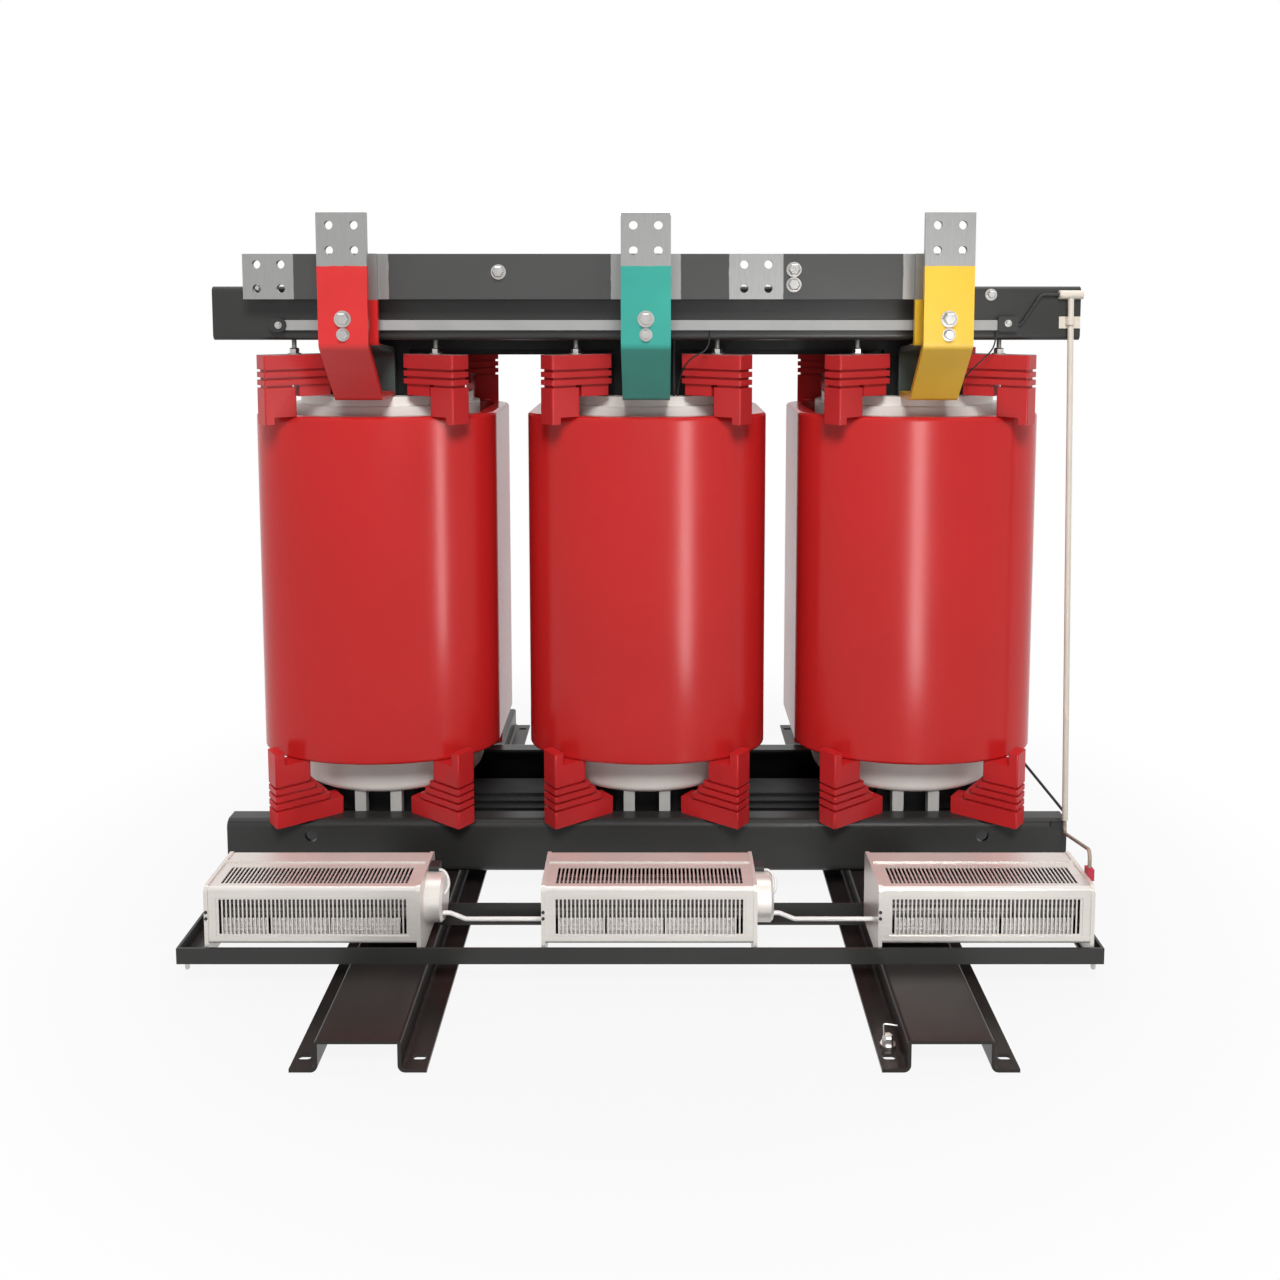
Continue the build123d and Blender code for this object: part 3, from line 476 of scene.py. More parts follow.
# %% Give each node its finish
finish_by_node = {
    "left_base_rail": rail_paint, "right_base_rail": rail_paint,
    "front_lower_clamp": lower_clamp_paint, "rear_lower_clamp": lower_clamp_paint,
    "front_upper_clamp": clamp_paint, "rear_upper_clamp": clamp_paint, "clamp_tie_plates": lower_clamp_paint,
    "lower_yoke": core_steel, "upper_yoke": core_steel,
    "lv_support_posts": post_resin, "lead_standoffs": standoff_resin, "hv_delta_links": link_cover,
    "neutral_bar": neutral_paint, "neutral_bar_brackets": clamp_paint,
    "sensor_duct": duct_plastic, "sensor_conduit": conduit_plastic, "sensor_leads": black_sheath,
    "fan_feed_lead": feed_finish, "fan_link_cables": white_sheath,
    "fan_frame_front_bar": clamp_paint, "fan_frame_rear_bar": clamp_paint, "fan_frame_end_bars": clamp_paint,
}
for side in SIDES:
    finish_by_node[side + "_limb"] = core_steel
    finish_by_node[side + "_hv_coil"] = red_resin
    finish_by_node[side + "_lv_coil"] = pale_resin
    finish_by_node[side + "_phase_bar"] = phase_finish[side]
    finish_by_node[side + "_neutral_lead"] = lead_finish[side]
    finish_by_node[side + "_upper_blocks"] = upper_block
    finish_by_node[side + "_lower_blocks"] = block_resin
    finish_by_node[side + "_fan_housing"] = fan_sheet
    finish_by_node[side + "_fan_impeller"] = wheel_metal
for name, node in nodes.items():
    node.data.materials.clear()
    node.data.materials.append(finish_by_node[name])
print("dressed", len(finish_by_node))

# %% Round the sharp edges of the cast blocks
WELD_REACH = 0.00001
EDGE_WIDTH = 0.0009
SHARP_FROM = math.radians(50)
softened = ["lv_support_posts"]
for side in SIDES:
    softened += [side + "_upper_blocks", side + "_lower_blocks"]
for name in softened:
    weld = nodes[name].modifiers.new("join triangles", "WELD")
    weld.merge_threshold = WELD_REACH
    bevel = nodes[name].modifiers.new("soft edges", "BEVEL")
    bevel.width = EDGE_WIDTH
    bevel.segments = 2
    bevel.limit_method = "ANGLE"
    bevel.angle_limit = SHARP_FROM
    bevel.harden_normals = True
print("softened", len(softened))

# %% [markdown]
# ## Fastenings
# Dozens of bolts hold the bars, the clamps and the blowers. Drawing one bolt and instancing it on points
# is what Geometry Nodes do best: the tree takes the sizes of head and washer as named inputs, turns each
# instance to the direction stored on its point, and ends in real mesh with its material.

# %% The bolt tree
WASHER_CORNERS = 24
CHAMFER_TOP_SHARE = 0.8
CHAMFER_HEIGHT_SHARE = 0.22


def bolt_tree():
    tree = bpy.data.node_groups.new("Bolt on points", "GeometryNodeTree")
    tree.interface.new_socket(name="Geometry", in_out="INPUT", socket_type="NodeSocketGeometry")
    for label in ("Head Radius", "Head Height", "Washer Radius", "Washer Thickness"):
        tree.interface.new_socket(name=label, in_out="INPUT", socket_type="NodeSocketFloat")
    tree.interface.new_socket(name="Corners", in_out="INPUT", socket_type="NodeSocketInt")
    tree.interface.new_socket(name="Finish", in_out="INPUT", socket_type="NodeSocketMaterial")
    tree.interface.new_socket(name="Geometry", in_out="OUTPUT", socket_type="NodeSocketGeometry")
    new = tree.nodes.new
    given, result = new("NodeGroupInput").outputs, new("NodeGroupOutput")
    radius, height, thickness = given["Head Radius"], given["Head Height"], given["Washer Thickness"]
    washer, head = new("GeometryNodeMeshCylinder"), new("GeometryNodeMeshCylinder")
    washer.inputs["Vertices"].default_value = WASHER_CORNERS
    chamfer = new("GeometryNodeMeshCone")
    stored = new("GeometryNodeInputNamedAttribute")
    stored.data_type = "FLOAT_VECTOR"
    stored.inputs["Name"].default_value = "facing"
    turn = new("FunctionNodeAlignRotationToVector")
    turn.axis = "Z"
    join, spread_out = new("GeometryNodeJoinGeometry"), new("GeometryNodeInstanceOnPoints")
    real, paint = new("GeometryNodeRealizeInstances"), new("GeometryNodeSetMaterial")
    half_head = math_node(tree, "MULTIPLY", height, 0.5)
    levels = (
        (washer, math_node(tree, "MULTIPLY", thickness, 0.5)),
        (head, math_node(tree, "ADD", half_head, thickness)),
        (chamfer, math_node(tree, "ADD", height, thickness)),
    )
    for first, second in (
        (given["Washer Radius"], washer.inputs["Radius"]),
        (thickness, washer.inputs["Depth"]),
        (radius, head.inputs["Radius"]),
        (height, head.inputs["Depth"]),
        (given["Corners"], head.inputs["Vertices"]),
        (given["Corners"], chamfer.inputs["Vertices"]),
        (radius, chamfer.inputs["Radius Bottom"]),
        (math_node(tree, "MULTIPLY", radius, CHAMFER_TOP_SHARE), chamfer.inputs["Radius Top"]),
        (math_node(tree, "MULTIPLY", height, CHAMFER_HEIGHT_SHARE), chamfer.inputs["Depth"]),
        (stored.outputs["Attribute"], turn.inputs["Vector"]),
        (given["Geometry"], spread_out.inputs["Points"]),
        (join.outputs[0], spread_out.inputs["Instance"]),
        (turn.outputs[0], spread_out.inputs["Rotation"]),
        (spread_out.outputs[0], real.inputs[0]),
        (real.outputs[0], paint.inputs["Geometry"]),
        (given["Finish"], paint.inputs["Material"]),
        (paint.outputs[0], result.inputs[0]),
    ):
        tree.links.new(first, second)
    for shape, level in levels:
        lift, move = new("ShaderNodeCombineXYZ"), new("GeometryNodeTransform")
        tree.links.new(level, lift.inputs["Z"])
        tree.links.new(shape.outputs["Mesh"], move.inputs["Geometry"])
        tree.links.new(lift.outputs[0], move.inputs["Translation"])
        tree.links.new(move.outputs[0], join.inputs[0])
    return tree


bolts_on_points = bolt_tree()
print("tree", bolts_on_points.name)

# %% Turn points into bolts
HEX_CORNERS = 6
BoltSize = namedtuple("BoltSize", "head height washer thickness corners", defaults=(HEX_CORNERS,))
FRONT, BACK, UP, DOWN, RIGHT = (0, -1, 0), (0, 1, 0), (0, 0, 1), (0, 0, -1), (1, 0, 0)


def socket_id(tree, label):
    return next(item.identifier for item in tree.interface.items_tree
                if item.item_type == "SOCKET" and item.in_out == "INPUT" and item.name == label)


def plain_mesh(holder, name):
    """The evaluated tree as a mesh of its own, with the points and the modifier gone."""
    graph = bpy.context.evaluated_depsgraph_get()
    made = bpy.data.meshes.new_from_object(holder.evaluated_get(graph), depsgraph=graph)
    holder.modifiers.clear()
    old = holder.data
    holder.data = made
    made.name = name
    bpy.data.meshes.remove(old)


def bolts(name, spots, size, finish):
    """spots holds pairs of a position and a direction, in metres."""
    points = bpy.data.meshes.new(name + "_points")
    points.from_pydata([spot for spot, _ in spots], [], [])
    facing = points.attributes.new("facing", "FLOAT_VECTOR", "POINT")
    for index, (_, direction) in enumerate(spots):
        facing.data[index].vector = direction
    holder = bpy.data.objects.new(name, points)
    bpy.context.scene.collection.objects.link(holder)
    tool = holder.modifiers.new("bolts", "NODES")
    tool.node_group = bolts_on_points
    for label, value in (("Head Radius", size.head), ("Head Height", size.height),
                         ("Washer Radius", size.washer), ("Washer Thickness", size.thickness),
                         ("Corners", size.corners), ("Finish", finish)):
        tool[socket_id(bolts_on_points, label)] = value
    plain_mesh(holder, name)
    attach(holder, BODY)
    print(name, len(spots), "bolts,", len(holder.data.polygons), "faces")


# %% Bolts on the phase bars
BAR_BOLT = BoltSize(head=0.0105, height=0.008, washer=0.0135, thickness=0.0025)
BAR_SCREW = BoltSize(head=0.008, height=0.006, washer=0.0105, thickness=0.002, corners=16)
BAR_BOLT_BELOW_TOP = 0.169
BAR_SCREW_BELOW_TOP = 0.194
bar_bolts = []
bar_screws = []
for side in SIDES:
    low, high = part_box(side + "_phase_bar")
    bar_bolts.append(((coil_x[side], low.y, high.z - BAR_BOLT_BELOW_TOP), FRONT))
    bar_screws.append(((coil_x[side], low.y, high.z - BAR_SCREW_BELOW_TOP), FRONT))
bolts("phase_bar_bolts", bar_bolts, BAR_BOLT, plated_steel)
bolts("phase_bar_small_bolts", bar_screws, BAR_SCREW, plated_steel)

# %% Bolts on the neutral bar and the clamps
NEUTRAL_BOLT = BoltSize(head=0.010, height=0.008, washer=0.0125, thickness=0.0025)
LEFT_BOLT_BELOW_TOP = 0.030
RIGHT_BOLTS_BELOW_TOP = (0.026, 0.051)
BOLT_FROM_BRACKET_END = 0.025
CLAMP_BOLT = BoltSize(head=0.007, height=0.005, washer=0.010, thickness=0.002)
CLAMP_BOLT_X = 0.584
CLAMP_BOLT_BELOW_TOP = 0.014
bracket_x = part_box("neutral_bar_brackets")[1].x - BOLT_FROM_BRACKET_END
neutral_bolts = [((-bracket_x, neutral_low.y, neutral_high.z - LEFT_BOLT_BELOW_TOP), FRONT)]
for drop in RIGHT_BOLTS_BELOW_TOP:
    neutral_bolts.append(((bracket_x, neutral_low.y, neutral_high.z - drop), FRONT))
bolts("neutral_bar_bolts", neutral_bolts, NEUTRAL_BOLT, plated_steel)
bolts("clamp_earth_bolt", [((CLAMP_BOLT_X, clamp_low.y, clamp_high.z - CLAMP_BOLT_BELOW_TOP), FRONT)],
      CLAMP_BOLT, plated_steel)

# %% Nuts on the pressing screws
PRESSING_NUT = BoltSize(head=0.0085, height=0.0075, washer=0.0115, thickness=0.002)
BLOCK_TURN = math.radians(36.4)
BLOCK_END_X, BLOCK_END_Y = 0.170, 0.211
SCREW_FROM_BLOCK_END = 0.060
SCREW_LENGTH = 0.025
nut_x = BLOCK_END_X - SCREW_FROM_BLOCK_END * math.cos(BLOCK_TURN)
nut_y = BLOCK_END_Y - SCREW_FROM_BLOCK_END * math.sin(BLOCK_TURN)
nut_spots = []
for side in SIDES:
    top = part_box(side + "_upper_blocks")[1].z - SCREW_LENGTH
    for sign_x in (-1, 1):
        for sign_y in (-1, 1):
            nut_spots.append(((coil_x[side] + sign_x * nut_x, sign_y * nut_y, top), UP))
bolts("pressing_nuts", nut_spots, PRESSING_NUT, plated_steel)

# %% Screws of the blower frame and of the blowers
FRAME_SCREW = BoltSize(head=0.004, height=0.010, washer=0.006, thickness=0.0015)
FRAME_SCREW_IN = 0.012
PLATE_SCREW = BoltSize(head=0.0022, height=0.0012, washer=0.0026, thickness=0.0004, corners=12)
PLATE_SCREW_IN = 0.003
PLATE_SCREWS_ABOVE_FOOT = (0.066, 0.076)
low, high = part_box("fan_frame_front_bar")
frame_screws = [((x, low.y + FRAME_SCREW_IN, low.z), DOWN)
                for x in (low.x + FRAME_SCREW_IN, high.x - FRAME_SCREW_IN)]
bolts("frame_end_screws", frame_screws, FRAME_SCREW, plated_steel)
plate_screws = []
for side in SIDES:
    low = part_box(side + "_fan_housing")[0]
    for rise in PLATE_SCREWS_ABOVE_FOOT:
        plate_screws.append(((low.x + PLATE_SCREW_IN, low.y, low.z + rise), FRONT))
bolts("blower_plate_screws", plate_screws, PLATE_SCREW, black_sheath)

# %% [markdown]
# ## Small sheet pieces and wires
# Strip ends, a clip and motor terminals are flat outlines with a thickness. One helper extrudes an
# outline and rounds its edges with a bevel, so that even a tiny plate has a lit edge. Wires are curves
# with a round section, turned into mesh, because a curve follows a route with few points.

# %% Helper for plates
PLATE_EDGE = 0.0006
CORNER_STEPS = 6


def plate_piece(name, outline, spot, right, up, thickness, finish):
    """An outline in two directions, given a thickness and a small rounded edge."""
    right, up = Vector(right).normalized(), Vector(up).normalized()
    out = right.cross(up)
    mesh = bpy.data.meshes.new(name)
    work = bmesh.new()
    ring = [work.verts.new(Vector(spot) + right * x + up * y) for x, y in outline]
    face = work.faces.new(ring)
    grown = bmesh.ops.extrude_face_region(work, geom=[face])
    bmesh.ops.translate(work, vec=out * thickness,
                        verts=[v for v in grown["geom"] if isinstance(v, bmesh.types.BMVert)])
    bmesh.ops.recalc_face_normals(work, faces=work.faces[:])
    bmesh.ops.bevel(work, geom=work.edges[:], offset=PLATE_EDGE, segments=2, affect="EDGES",
                    clamp_overlap=True)
    work.to_mesh(mesh)
    work.free()
    mesh.materials.append(finish)
    piece = bpy.data.objects.new(name, mesh)
    bpy.context.scene.collection.objects.link(piece)
    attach(piece, BODY)
    print(name, len(mesh.polygons), "faces")


def rounded(width, height, corner):
    """Outline of a rectangle with round corners, about its middle."""
    points = []
    for quarter in range(4):
        cx = (width / 2 - corner) * (1 if quarter in (0, 3) else -1)
        cy = (height / 2 - corner) * (1 if quarter in (0, 1) else -1)
        for step in range(CORNER_STEPS + 1):
            angle = math.pi / 2 * (quarter + step / CORNER_STEPS)
            points.append((cx + corner * math.cos(angle), cy + corner * math.sin(angle)))
    return points


# %% Helper for wires
def wire(name, runs, radius, finish):
    """Smooth round wires through lists of points."""
    curve = bpy.data.curves.new(name, "CURVE")
    curve.dimensions = "3D"
    curve.bevel_depth = radius
    curve.bevel_resolution = 3
    curve.resolution_u = 8
    curve.use_fill_caps = True
    for run in runs:
        spline = curve.splines.new("NURBS")
        spline.points.add(len(run) - 1)
        for point, place in zip(spline.points, run):
            point.co = (*place, 1.0)
        spline.order_u = 3
        spline.use_endpoint_u = True
    holder = bpy.data.objects.new(name + "_curve", curve)
    bpy.context.scene.collection.objects.link(holder)
    graph = bpy.context.evaluated_depsgraph_get()
    mesh = bpy.data.meshes.new_from_object(holder.evaluated_get(graph), depsgraph=graph)
    bpy.data.objects.remove(holder)
    bpy.data.curves.remove(curve)
    mesh.name = name
    mesh.materials.clear()
    mesh.materials.append(finish)
    mesh.polygons.foreach_set("use_smooth", [True] * len(mesh.polygons))
    piece = bpy.data.objects.new(name, mesh)
    bpy.context.scene.collection.objects.link(piece)
    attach(piece, BODY)
    print(name, len(mesh.polygons), "faces")


# %% Ends of the temperature strip
STRIP_BOLT = BoltSize(head=0.0045, height=0.003, washer=0.006, thickness=0.001)
LEFT_END = dict(width=0.030, height=0.024, corner=0.0115)
RIGHT_END = dict(width=0.034, height=0.026, corner=0.004)
END_PLATE = 0.004
END_GAP = 0.0002
LEFT_END_IN, LEFT_BOLT_IN = 0.004, 0.006
RIGHT_END_OUT = 0.006
RIGHT_END_RISE, RIGHT_BOLT_RISE = 0.002, 0.003
duct_low, duct_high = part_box("sensor_duct")
duct_z = (duct_low.z + duct_high.z) / 2
end_y = duct_low.y - END_GAP
plate_piece("strip_left_end", rounded(**LEFT_END), (duct_low.x + LEFT_END_IN, end_y, duct_z),
            RIGHT, UP, END_PLATE, black_sheath)
plate_piece("strip_right_end", rounded(**RIGHT_END),
            (duct_high.x + RIGHT_END_OUT, end_y, duct_z + RIGHT_END_RISE),
            RIGHT, UP, END_PLATE, black_sheath)
bolt_y = end_y - END_PLATE
bolts("strip_end_bolts",
      [((duct_low.x + LEFT_BOLT_IN, bolt_y, duct_z), FRONT),
       ((duct_high.x + RIGHT_END_OUT, bolt_y, duct_z + RIGHT_BOLT_RISE), FRONT)],
      STRIP_BOLT, plated_steel)

# %% Sensor wires from the windings to the strip
SENSOR_WIRE_RADIUS = 0.0013
RIGHT_WIRE_SAG = 0.012
sensor_runs = []
for side, sag in (("middle", 0.0), ("right", RIGHT_WIRE_SAG)):
    collar_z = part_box(side + "_lv_coil")[1].z
    route = (
        (0.054, -0.130, collar_z - 0.001),
        (0.054, -0.146, collar_z + 0.010),
        (0.060, -0.190, collar_z + 0.050 - sag),
        (0.078, -0.207, collar_z + 0.073 - sag),
        (0.100, -0.209, collar_z + 0.082),
        (0.108, -0.205, duct_low.z - 0.018),
        (0.108, -0.204, duct_low.z + 0.001),
    )
    sensor_runs.append([(coil_x[side] + x, y, z) for x, y, z in route])
wire("winding_sensor_wires", sensor_runs, SENSOR_WIRE_RADIUS, black_sheath)

# %% Clip at the foot of the conduit
CLIP = dict(width=0.026, height=0.014, corner=0.003)
CLIP_FROM_END = 0.016
CLIP_BELOW_TOP = 0.006
CLIP_PLATE = 0.003
CLIP_GAP = 0.0001
clip_spot = (lower_clamp_high.x - CLIP_FROM_END, lower_clamp_low.y - CLIP_GAP,
             lower_clamp_high.z - CLIP_BELOW_TOP)
plate_piece("conduit_clip", rounded(**CLIP), clip_spot, RIGHT, UP, CLIP_PLATE, black_sheath)

# %% Bolt end behind the left pad
BOLT_END = BoltSize(head=0.0042, height=0.004, washer=0.0048, thickness=0.001, corners=16)
BOLT_END_IN, BOLT_END_BACK, BOLT_END_RISE = 0.0225, 0.009, 0.019
bolts("pad_bolt_end",
      [((neutral_low.x + BOLT_END_IN, neutral_low.y + BOLT_END_BACK, neutral_low.z + BOLT_END_RISE), FRONT)],
      BOLT_END, plated_steel)

# %% Earthing stud on the right rail
EARTH_STUD = BoltSize(head=0.008, height=0.010, washer=0.011, thickness=0.003)
STUD_FROM_EDGE, STUD_FROM_END = 0.018, 0.054
RAIL_SHEET = 0.005
EARTH_TAG_RADIUS = 0.0014
stud_x, stud_y = rail_low.x + STUD_FROM_EDGE, rail_low.y + STUD_FROM_END
bolts("earth_stud", [((stud_x, stud_y, RAIL_SHEET), UP)], EARTH_STUD, plated_steel)
tag_route = ((-0.005, 0.012), (-0.006, 0.034), (-0.006, 0.036), (-0.003, 0.037), (0.013, 0.034))
tag_run = [(stud_x + x, stud_y, z) for x, z in tag_route]
wire("earth_tag", [tag_run], EARTH_TAG_RADIUS, plated_steel)

# %% Terminals and strap loops of the blower motors
MOTOR_LENGTH = 0.028
TERMINAL = dict(width=0.026, height=0.020, corner=0.003)
TERMINAL_THICKNESS = 0.016
TERMINAL_GAP = 0.0001
TERMINAL_FROM_FRONT, TERMINAL_BELOW_TOP = 0.085, 0.014
STRAP_RADIUS = 0.0022
strap_route = (
    (0.012, 0.078, -0.012),
    (0.024, 0.070, -0.004),
    (0.036, 0.060, -0.022),
    (0.030, 0.055, -0.040),
    (0.020, 0.056, -0.046),
)
for side in ("left", "middle"):
    low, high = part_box(side + "_fan_housing")
    plate_x = high.x - MOTOR_LENGTH
    plate_piece(side + "_motor_terminal", rounded(**TERMINAL),
                (plate_x + TERMINAL_GAP, low.y + TERMINAL_FROM_FRONT, high.z - TERMINAL_BELOW_TOP),
                BACK, UP, TERMINAL_THICKNESS, black_sheath)
    strap = [(plate_x + x, low.y + y, high.z + z) for x, y, z in strap_route]
    wire(side + "_motor_strap", [strap], STRAP_RADIUS, white_sheath)

# %% [markdown]
# ## Guide lips of the blowers
# Through the lower half of the front slots shows a pale lip that guides the air off the wheel, with fine
# ribs along it and two dark joints across. The section is a short arc with ribs, swept along the blower,
# so it is made as a grid of points: one row of the grid is the section, and the rows repeat along X.

# %% Ribbed lips behind the slots
LIP_RIBS = 5
STEPS_PER_RIB = 6
LIP_BOW = 0.0035
RIB_DEPTH = 0.0009
HALF_JOINT = 0.0025
LIP_WALL = 0.0008


def ribbed_lip(name, edges, front_y, low_z, high_z, finish):
    """A thin ribbed strip along X, broken at each edge."""
    steps = LIP_RIBS * STEPS_PER_RIB
    section = []
    for step in range(steps + 1):
        share = step / steps
        bow = LIP_BOW * (2 * share - 1) ** 2
        rib = RIB_DEPTH * (0.5 + 0.5 * math.cos(2 * math.pi * LIP_RIBS * share))
        section.append((front_y + bow + rib, low_z + (high_z - low_z) * share))
    mesh = bpy.data.meshes.new(name)
    work = bmesh.new()
    for first, last in zip(edges[:-1], edges[1:]):
        rows = []
        for x in (first + HALF_JOINT, last - HALF_JOINT):
            rows.append([work.verts.new((x, y, z)) for y, z in section])
        for index in range(steps):
            work.faces.new((rows[0][index], rows[1][index], rows[1][index + 1], rows[0][index + 1]))
    bmesh.ops.solidify(work, geom=work.faces[:], thickness=LIP_WALL)
    bmesh.ops.recalc_face_normals(work, faces=work.faces[:])
    work.to_mesh(mesh)
    work.free()
    mesh.materials.append(finish)
    lip = bpy.data.objects.new(name, mesh)
    bpy.context.scene.collection.objects.link(lip)
    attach(lip, BODY)
    print(name, len(mesh.polygons), "faces")


# %% One lip for each blower
LIP_EDGES = (-0.142, -0.068, 0.024, 0.136)
LIP_BEHIND_FRONT = 0.0068
LIP_FOOT, LIP_TOP = 0.077, 0.112
for side in SIDES:
    low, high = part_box(side + "_fan_impeller")
    middle_x = (low.x + high.x) / 2
    front_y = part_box(side + "_fan_housing")[0].y + LIP_BEHIND_FRONT
    ribbed_lip(side + "_guide_lip", [middle_x + edge for edge in LIP_EDGES], front_y, LIP_FOOT, LIP_TOP,
               lip_metal)

# %% [markdown]
# ## High-voltage side
# The rear of each winding has a raised tap pad. Such pads carry brass studs in two rows, with which the
# ratio is set, and the tubes of the delta connection end on studs of the same kind. The bolt tree serves
# again, with other sizes.

# %% Tap studs
TAP_STUD = BoltSize(head=0.0085, height=0.012, washer=0.012, thickness=0.003)
LINK_COLLAR = BoltSize(head=0.0125, height=0.010, washer=0.016, thickness=0.003)
TAP_ROWS = 4
TAP_ROW_PITCH = 0.062
TAP_ASIDE = 0.022
LINK_ASIDE, LINK_FROM_MIDDLE = 0.050, 0.170
tap_spots = []
end_spots = []
for side in SIDES:
    low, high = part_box(side + "_hv_coil")
    middle_z = (low.z + high.z) / 2
    for row in range(TAP_ROWS):
        z = middle_z + (row - (TAP_ROWS - 1) / 2) * TAP_ROW_PITCH
        for column in (-1, 1):
            tap_spots.append(((coil_x[side] + column * TAP_ASIDE, high.y, z), BACK))
    end_spots.append(((coil_x[side] + LINK_ASIDE, high.y, middle_z - LINK_FROM_MIDDLE), BACK))
    end_spots.append(((coil_x[side] - LINK_ASIDE, high.y, middle_z + LINK_FROM_MIDDLE), BACK))
bolts("tap_studs", tap_spots, TAP_STUD, brass_stud)
bolts("link_end_collars", end_spots, LINK_COLLAR, brass_stud)

# %% [markdown]
# ## Floor
# The photograph has a plain white ground. Making a floor white by pouring light on it would also bleach
# the object, so the floor is a mid grey that looks white only to the camera and to reflections, through
# Light Path. Near the object a little of the grey stays in the mix, and with it the soft shadow under the
# rails.

# %% Pale floor
FLOOR_HALF = 30
FLOOR_DROP = 0.0006
FLOOR_GREY = 0.34
floor_corners = [(-FLOOR_HALF, -FLOOR_HALF), (FLOOR_HALF, -FLOOR_HALF), (FLOOR_HALF, FLOOR_HALF),
                 (-FLOOR_HALF, FLOOR_HALF)]
floor_mesh = bpy.data.meshes.new("pale_floor")
floor_mesh.from_pydata([(x, y, -FLOOR_DROP) for x, y in floor_corners], [], [(0, 1, 2, 3)])
floor = bpy.data.objects.new("pale_floor", floor_mesh)
bpy.context.scene.collection.objects.link(floor)
floor_material = bpy.data.materials.new("pale floor")
floor_material.use_nodes = True
tree = floor_material.node_tree
shader = next(n for n in tree.nodes if n.type == "BSDF_PRINCIPLED")
shader.inputs["Base Color"].default_value = (FLOOR_GREY, FLOOR_GREY, FLOOR_GREY, 1.0)
shader.inputs["Roughness"].default_value = 0.9
shader.inputs["Specular IOR Level"].default_value = 0.0
white = tree.nodes.new("ShaderNodeEmission")
white.inputs["Color"].default_value = (1.0, 1.0, 1.0, 1.0)
white.inputs["Strength"].default_value = 1.0
path = tree.nodes.new("ShaderNodeLightPath")
seen = math_node(tree, "MAXIMUM", path.outputs["Is Camera Ray"], path.outputs["Is Glossy Ray"])
floor_mesh.materials.append(floor_material)
print("floor", 2 * FLOOR_HALF, "m wide")

# %% Fade from shadow to white
FADE_START, FADE_END = 0.72, 1.35
WHITE_NEAR, WHITE_FAR = 0.90, 1.0
spot = tree.nodes.new("ShaderNodeTexCoord")
reach = tree.nodes.new("ShaderNodeVectorMath")
reach.operation = "LENGTH"
tree.links.new(spot.outputs["Object"], reach.inputs[0])
fade = tree.nodes.new("ShaderNodeMapRange")
fade.interpolation_type = "SMOOTHSTEP"
for label, value in (("From Min", FADE_START), ("From Max", FADE_END), ("To Min", WHITE_NEAR),
                     ("To Max", WHITE_FAR)):
    fade.inputs[label].default_value = value
tree.links.new(reach.outputs["Value"], fade.inputs["Value"])
blend = tree.nodes.new("ShaderNodeMixShader")
floor_output = next(n for n in tree.nodes if n.type == "OUTPUT_MATERIAL")
tree.links.new(math_node(tree, "MULTIPLY", seen, fade.outputs[0]), blend.inputs[0])
tree.links.new(shader.outputs[0], blend.inputs[1])
tree.links.new(white.outputs[0], blend.inputs[2])
tree.links.new(blend.outputs[0], floor_output.inputs["Surface"])
floor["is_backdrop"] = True
print("floor is white from", FADE_END, "m")

# %% [markdown]
# ## World and lamps
# The world looks white to the camera, to reflections and through glass, while it lights the object at a
# much lower level. Large area lamps do the lighting. Most are hidden from reflections, so that their
# shapes do not show on the resin and the bare metal. One slim lamp does the opposite: it is seen only in
# reflections, and draws the long upright highlight on the resin.

# %% World
AMBIENT = 0.05
world = bpy.data.worlds.new("white studio")
bpy.context.scene.world = world
world.use_nodes = True
tree = world.node_tree
ambient = next(n for n in tree.nodes if n.type == "BACKGROUND")
ambient.inputs["Color"].default_value = (1.0, 1.0, 1.0, 1.0)
ambient.inputs["Strength"].default_value = AMBIENT
backdrop = tree.nodes.new("ShaderNodeBackground")
backdrop.inputs["Color"].default_value = (1.0, 1.0, 1.0, 1.0)
backdrop.inputs["Strength"].default_value = 1.0
path = tree.nodes.new("ShaderNodeLightPath")
bounced = math_node(tree, "MAXIMUM", path.outputs["Is Glossy Ray"], path.outputs["Is Transmission Ray"])
seen = math_node(tree, "MAXIMUM", path.outputs["Is Camera Ray"], bounced)
blend = tree.nodes.new("ShaderNodeMixShader")
world_output = next(n for n in tree.nodes if n.type == "OUTPUT_WORLD")
tree.links.new(seen, blend.inputs[0])
tree.links.new(ambient.outputs[0], blend.inputs[1])
tree.links.new(backdrop.outputs[0], blend.inputs[2])
tree.links.new(blend.outputs[0], world_output.inputs["Surface"])
print("ambient light", AMBIENT)


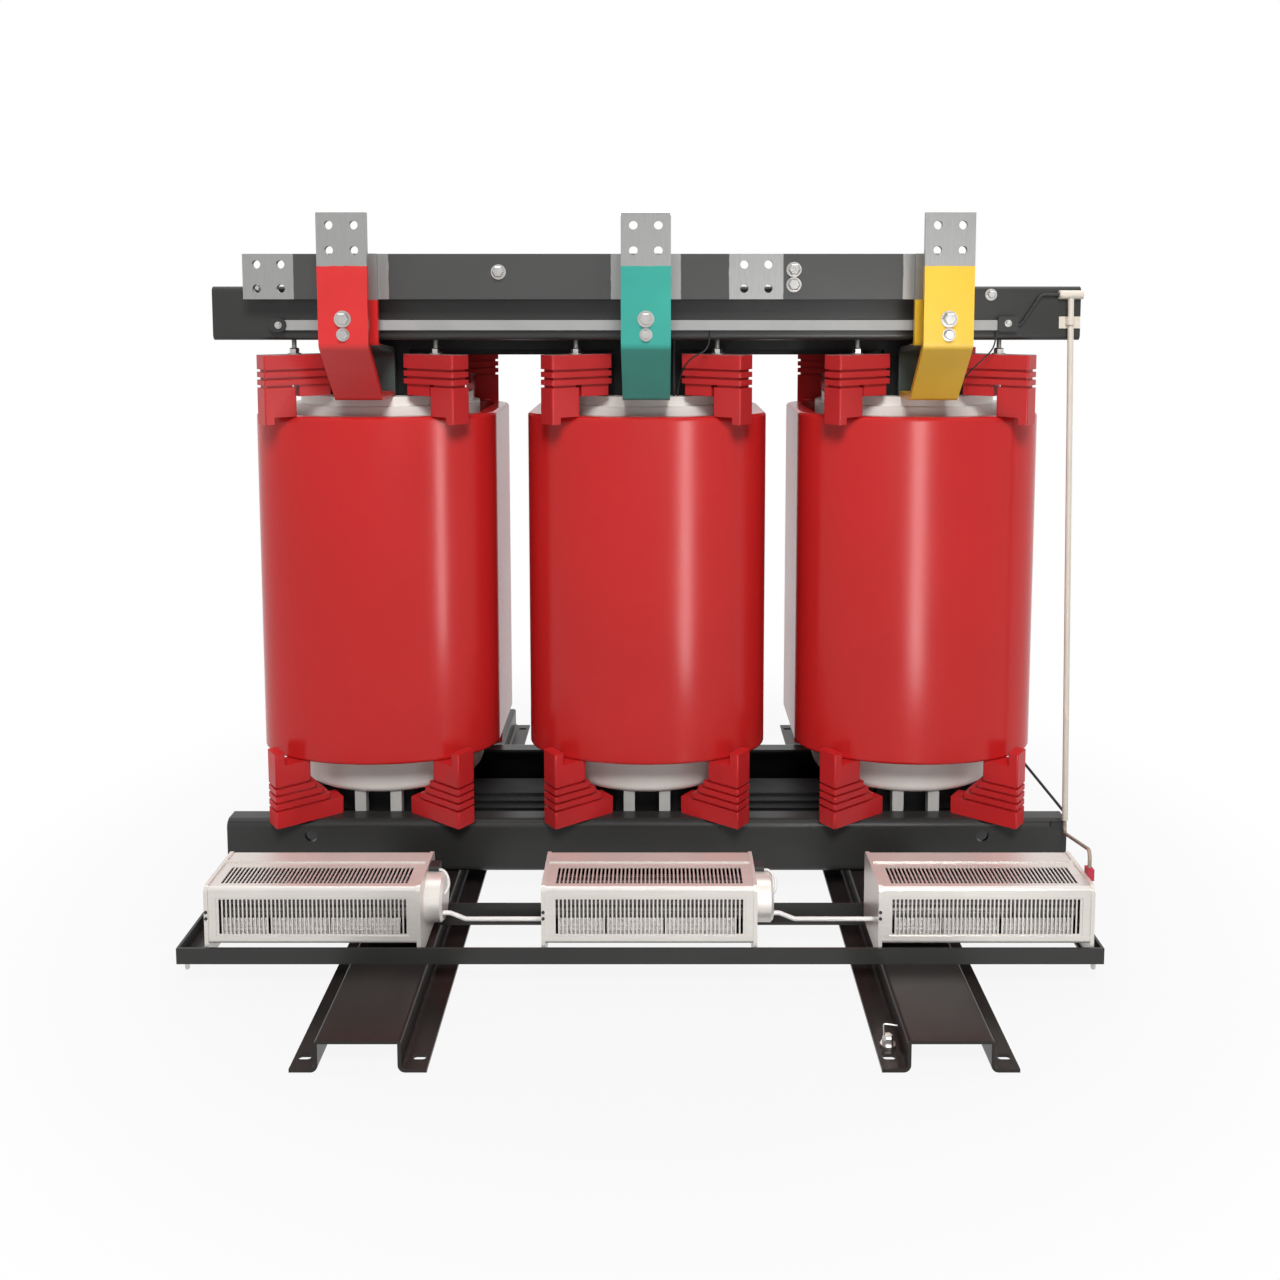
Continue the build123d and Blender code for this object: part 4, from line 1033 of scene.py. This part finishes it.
# %% Lamps
def soft_lamp(name, place, aim, size, watts, mirrored=True, mirror_only=False):
    light = bpy.data.lights.new(name, "AREA")
    light.shape = "RECTANGLE"
    light.size, light.size_y = size
    light.energy = watts
    lamp = bpy.data.objects.new(name, light)
    lamp.location = place
    lamp.rotation_euler = (Vector(aim) - Vector(place)).to_track_quat("-Z", "Y").to_euler()
    lamp.visible_glossy = mirrored
    lamp.visible_camera = not mirror_only
    lamp.visible_diffuse = not mirror_only
    bpy.context.scene.collection.objects.link(lamp)
    print("lamp", name, watts, "W")


soft_lamp("key", place=(0.2, -3.3, 3.2), aim=(0.0, 0.0, 0.6), size=(1.3, 1.2), watts=158, mirrored=False)
soft_lamp("low front", place=(0.0, -4.2, 1.0), aim=(0.0, 0.0, 0.5), size=(1.4, 1.0), watts=24,
          mirrored=False)
for name, x in (("left side", -3.4), ("right side", 3.4)):
    soft_lamp(name, place=(x, 0.45, 1.2), aim=(0.0, 0.0, 0.6), size=(1.2, 1.6), watts=38, mirrored=False)
soft_lamp("top", place=(0.0, 0.2, 3.6), aim=(0.0, 0.0, 0.5), size=(3.0, 2.0), watts=48)
soft_lamp("back", place=(0.0, 3.4, 2.4), aim=(0.0, 0.0, 0.7), size=(2.6, 2.0), watts=120, mirrored=False)
soft_lamp("upright strip", place=(0.58, -1.37, 0.47), aim=(0.05, -0.21, 0.47), size=(0.18, 0.9), watts=7.5,
          mirror_only=True)

# %% [markdown]
# ## Camera
# The camera stands where the photograph was taken from, as far as a fit to the picture tells: 1.05 m
# high, and looking down by five degrees. The shift moves the picture in its frame without turning the
# camera, so that upright edges keep the slant that they have in the photograph.

# %% Camera
LOOK_DOWN = math.radians(5.0)
lens = bpy.data.cameras.new("portrait")
lens.lens = 33.75
lens.sensor_width = 36.0
lens.shift_x = -0.0124
lens.shift_y = -0.179
camera = bpy.data.objects.new("portrait", lens)
camera.location = (0.016, -2.244, 1.050)
camera.rotation_euler = (math.pi / 2 - LOOK_DOWN, 0.0, 0.0)
bpy.context.scene.collection.objects.link(camera)
bpy.context.scene.camera = camera
bpy.context.scene.view_settings.view_transform = "Standard"
print("camera at", [round(v, 3) for v in camera.location])

# %% [markdown]
# ## Sizes and the last line
# The box of the dressed part is printed at the end.

# %% Print the box of the dressed part
low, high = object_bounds()
print("visual box", [round(v, 4) for v in low], [round(v, 4) for v in high])
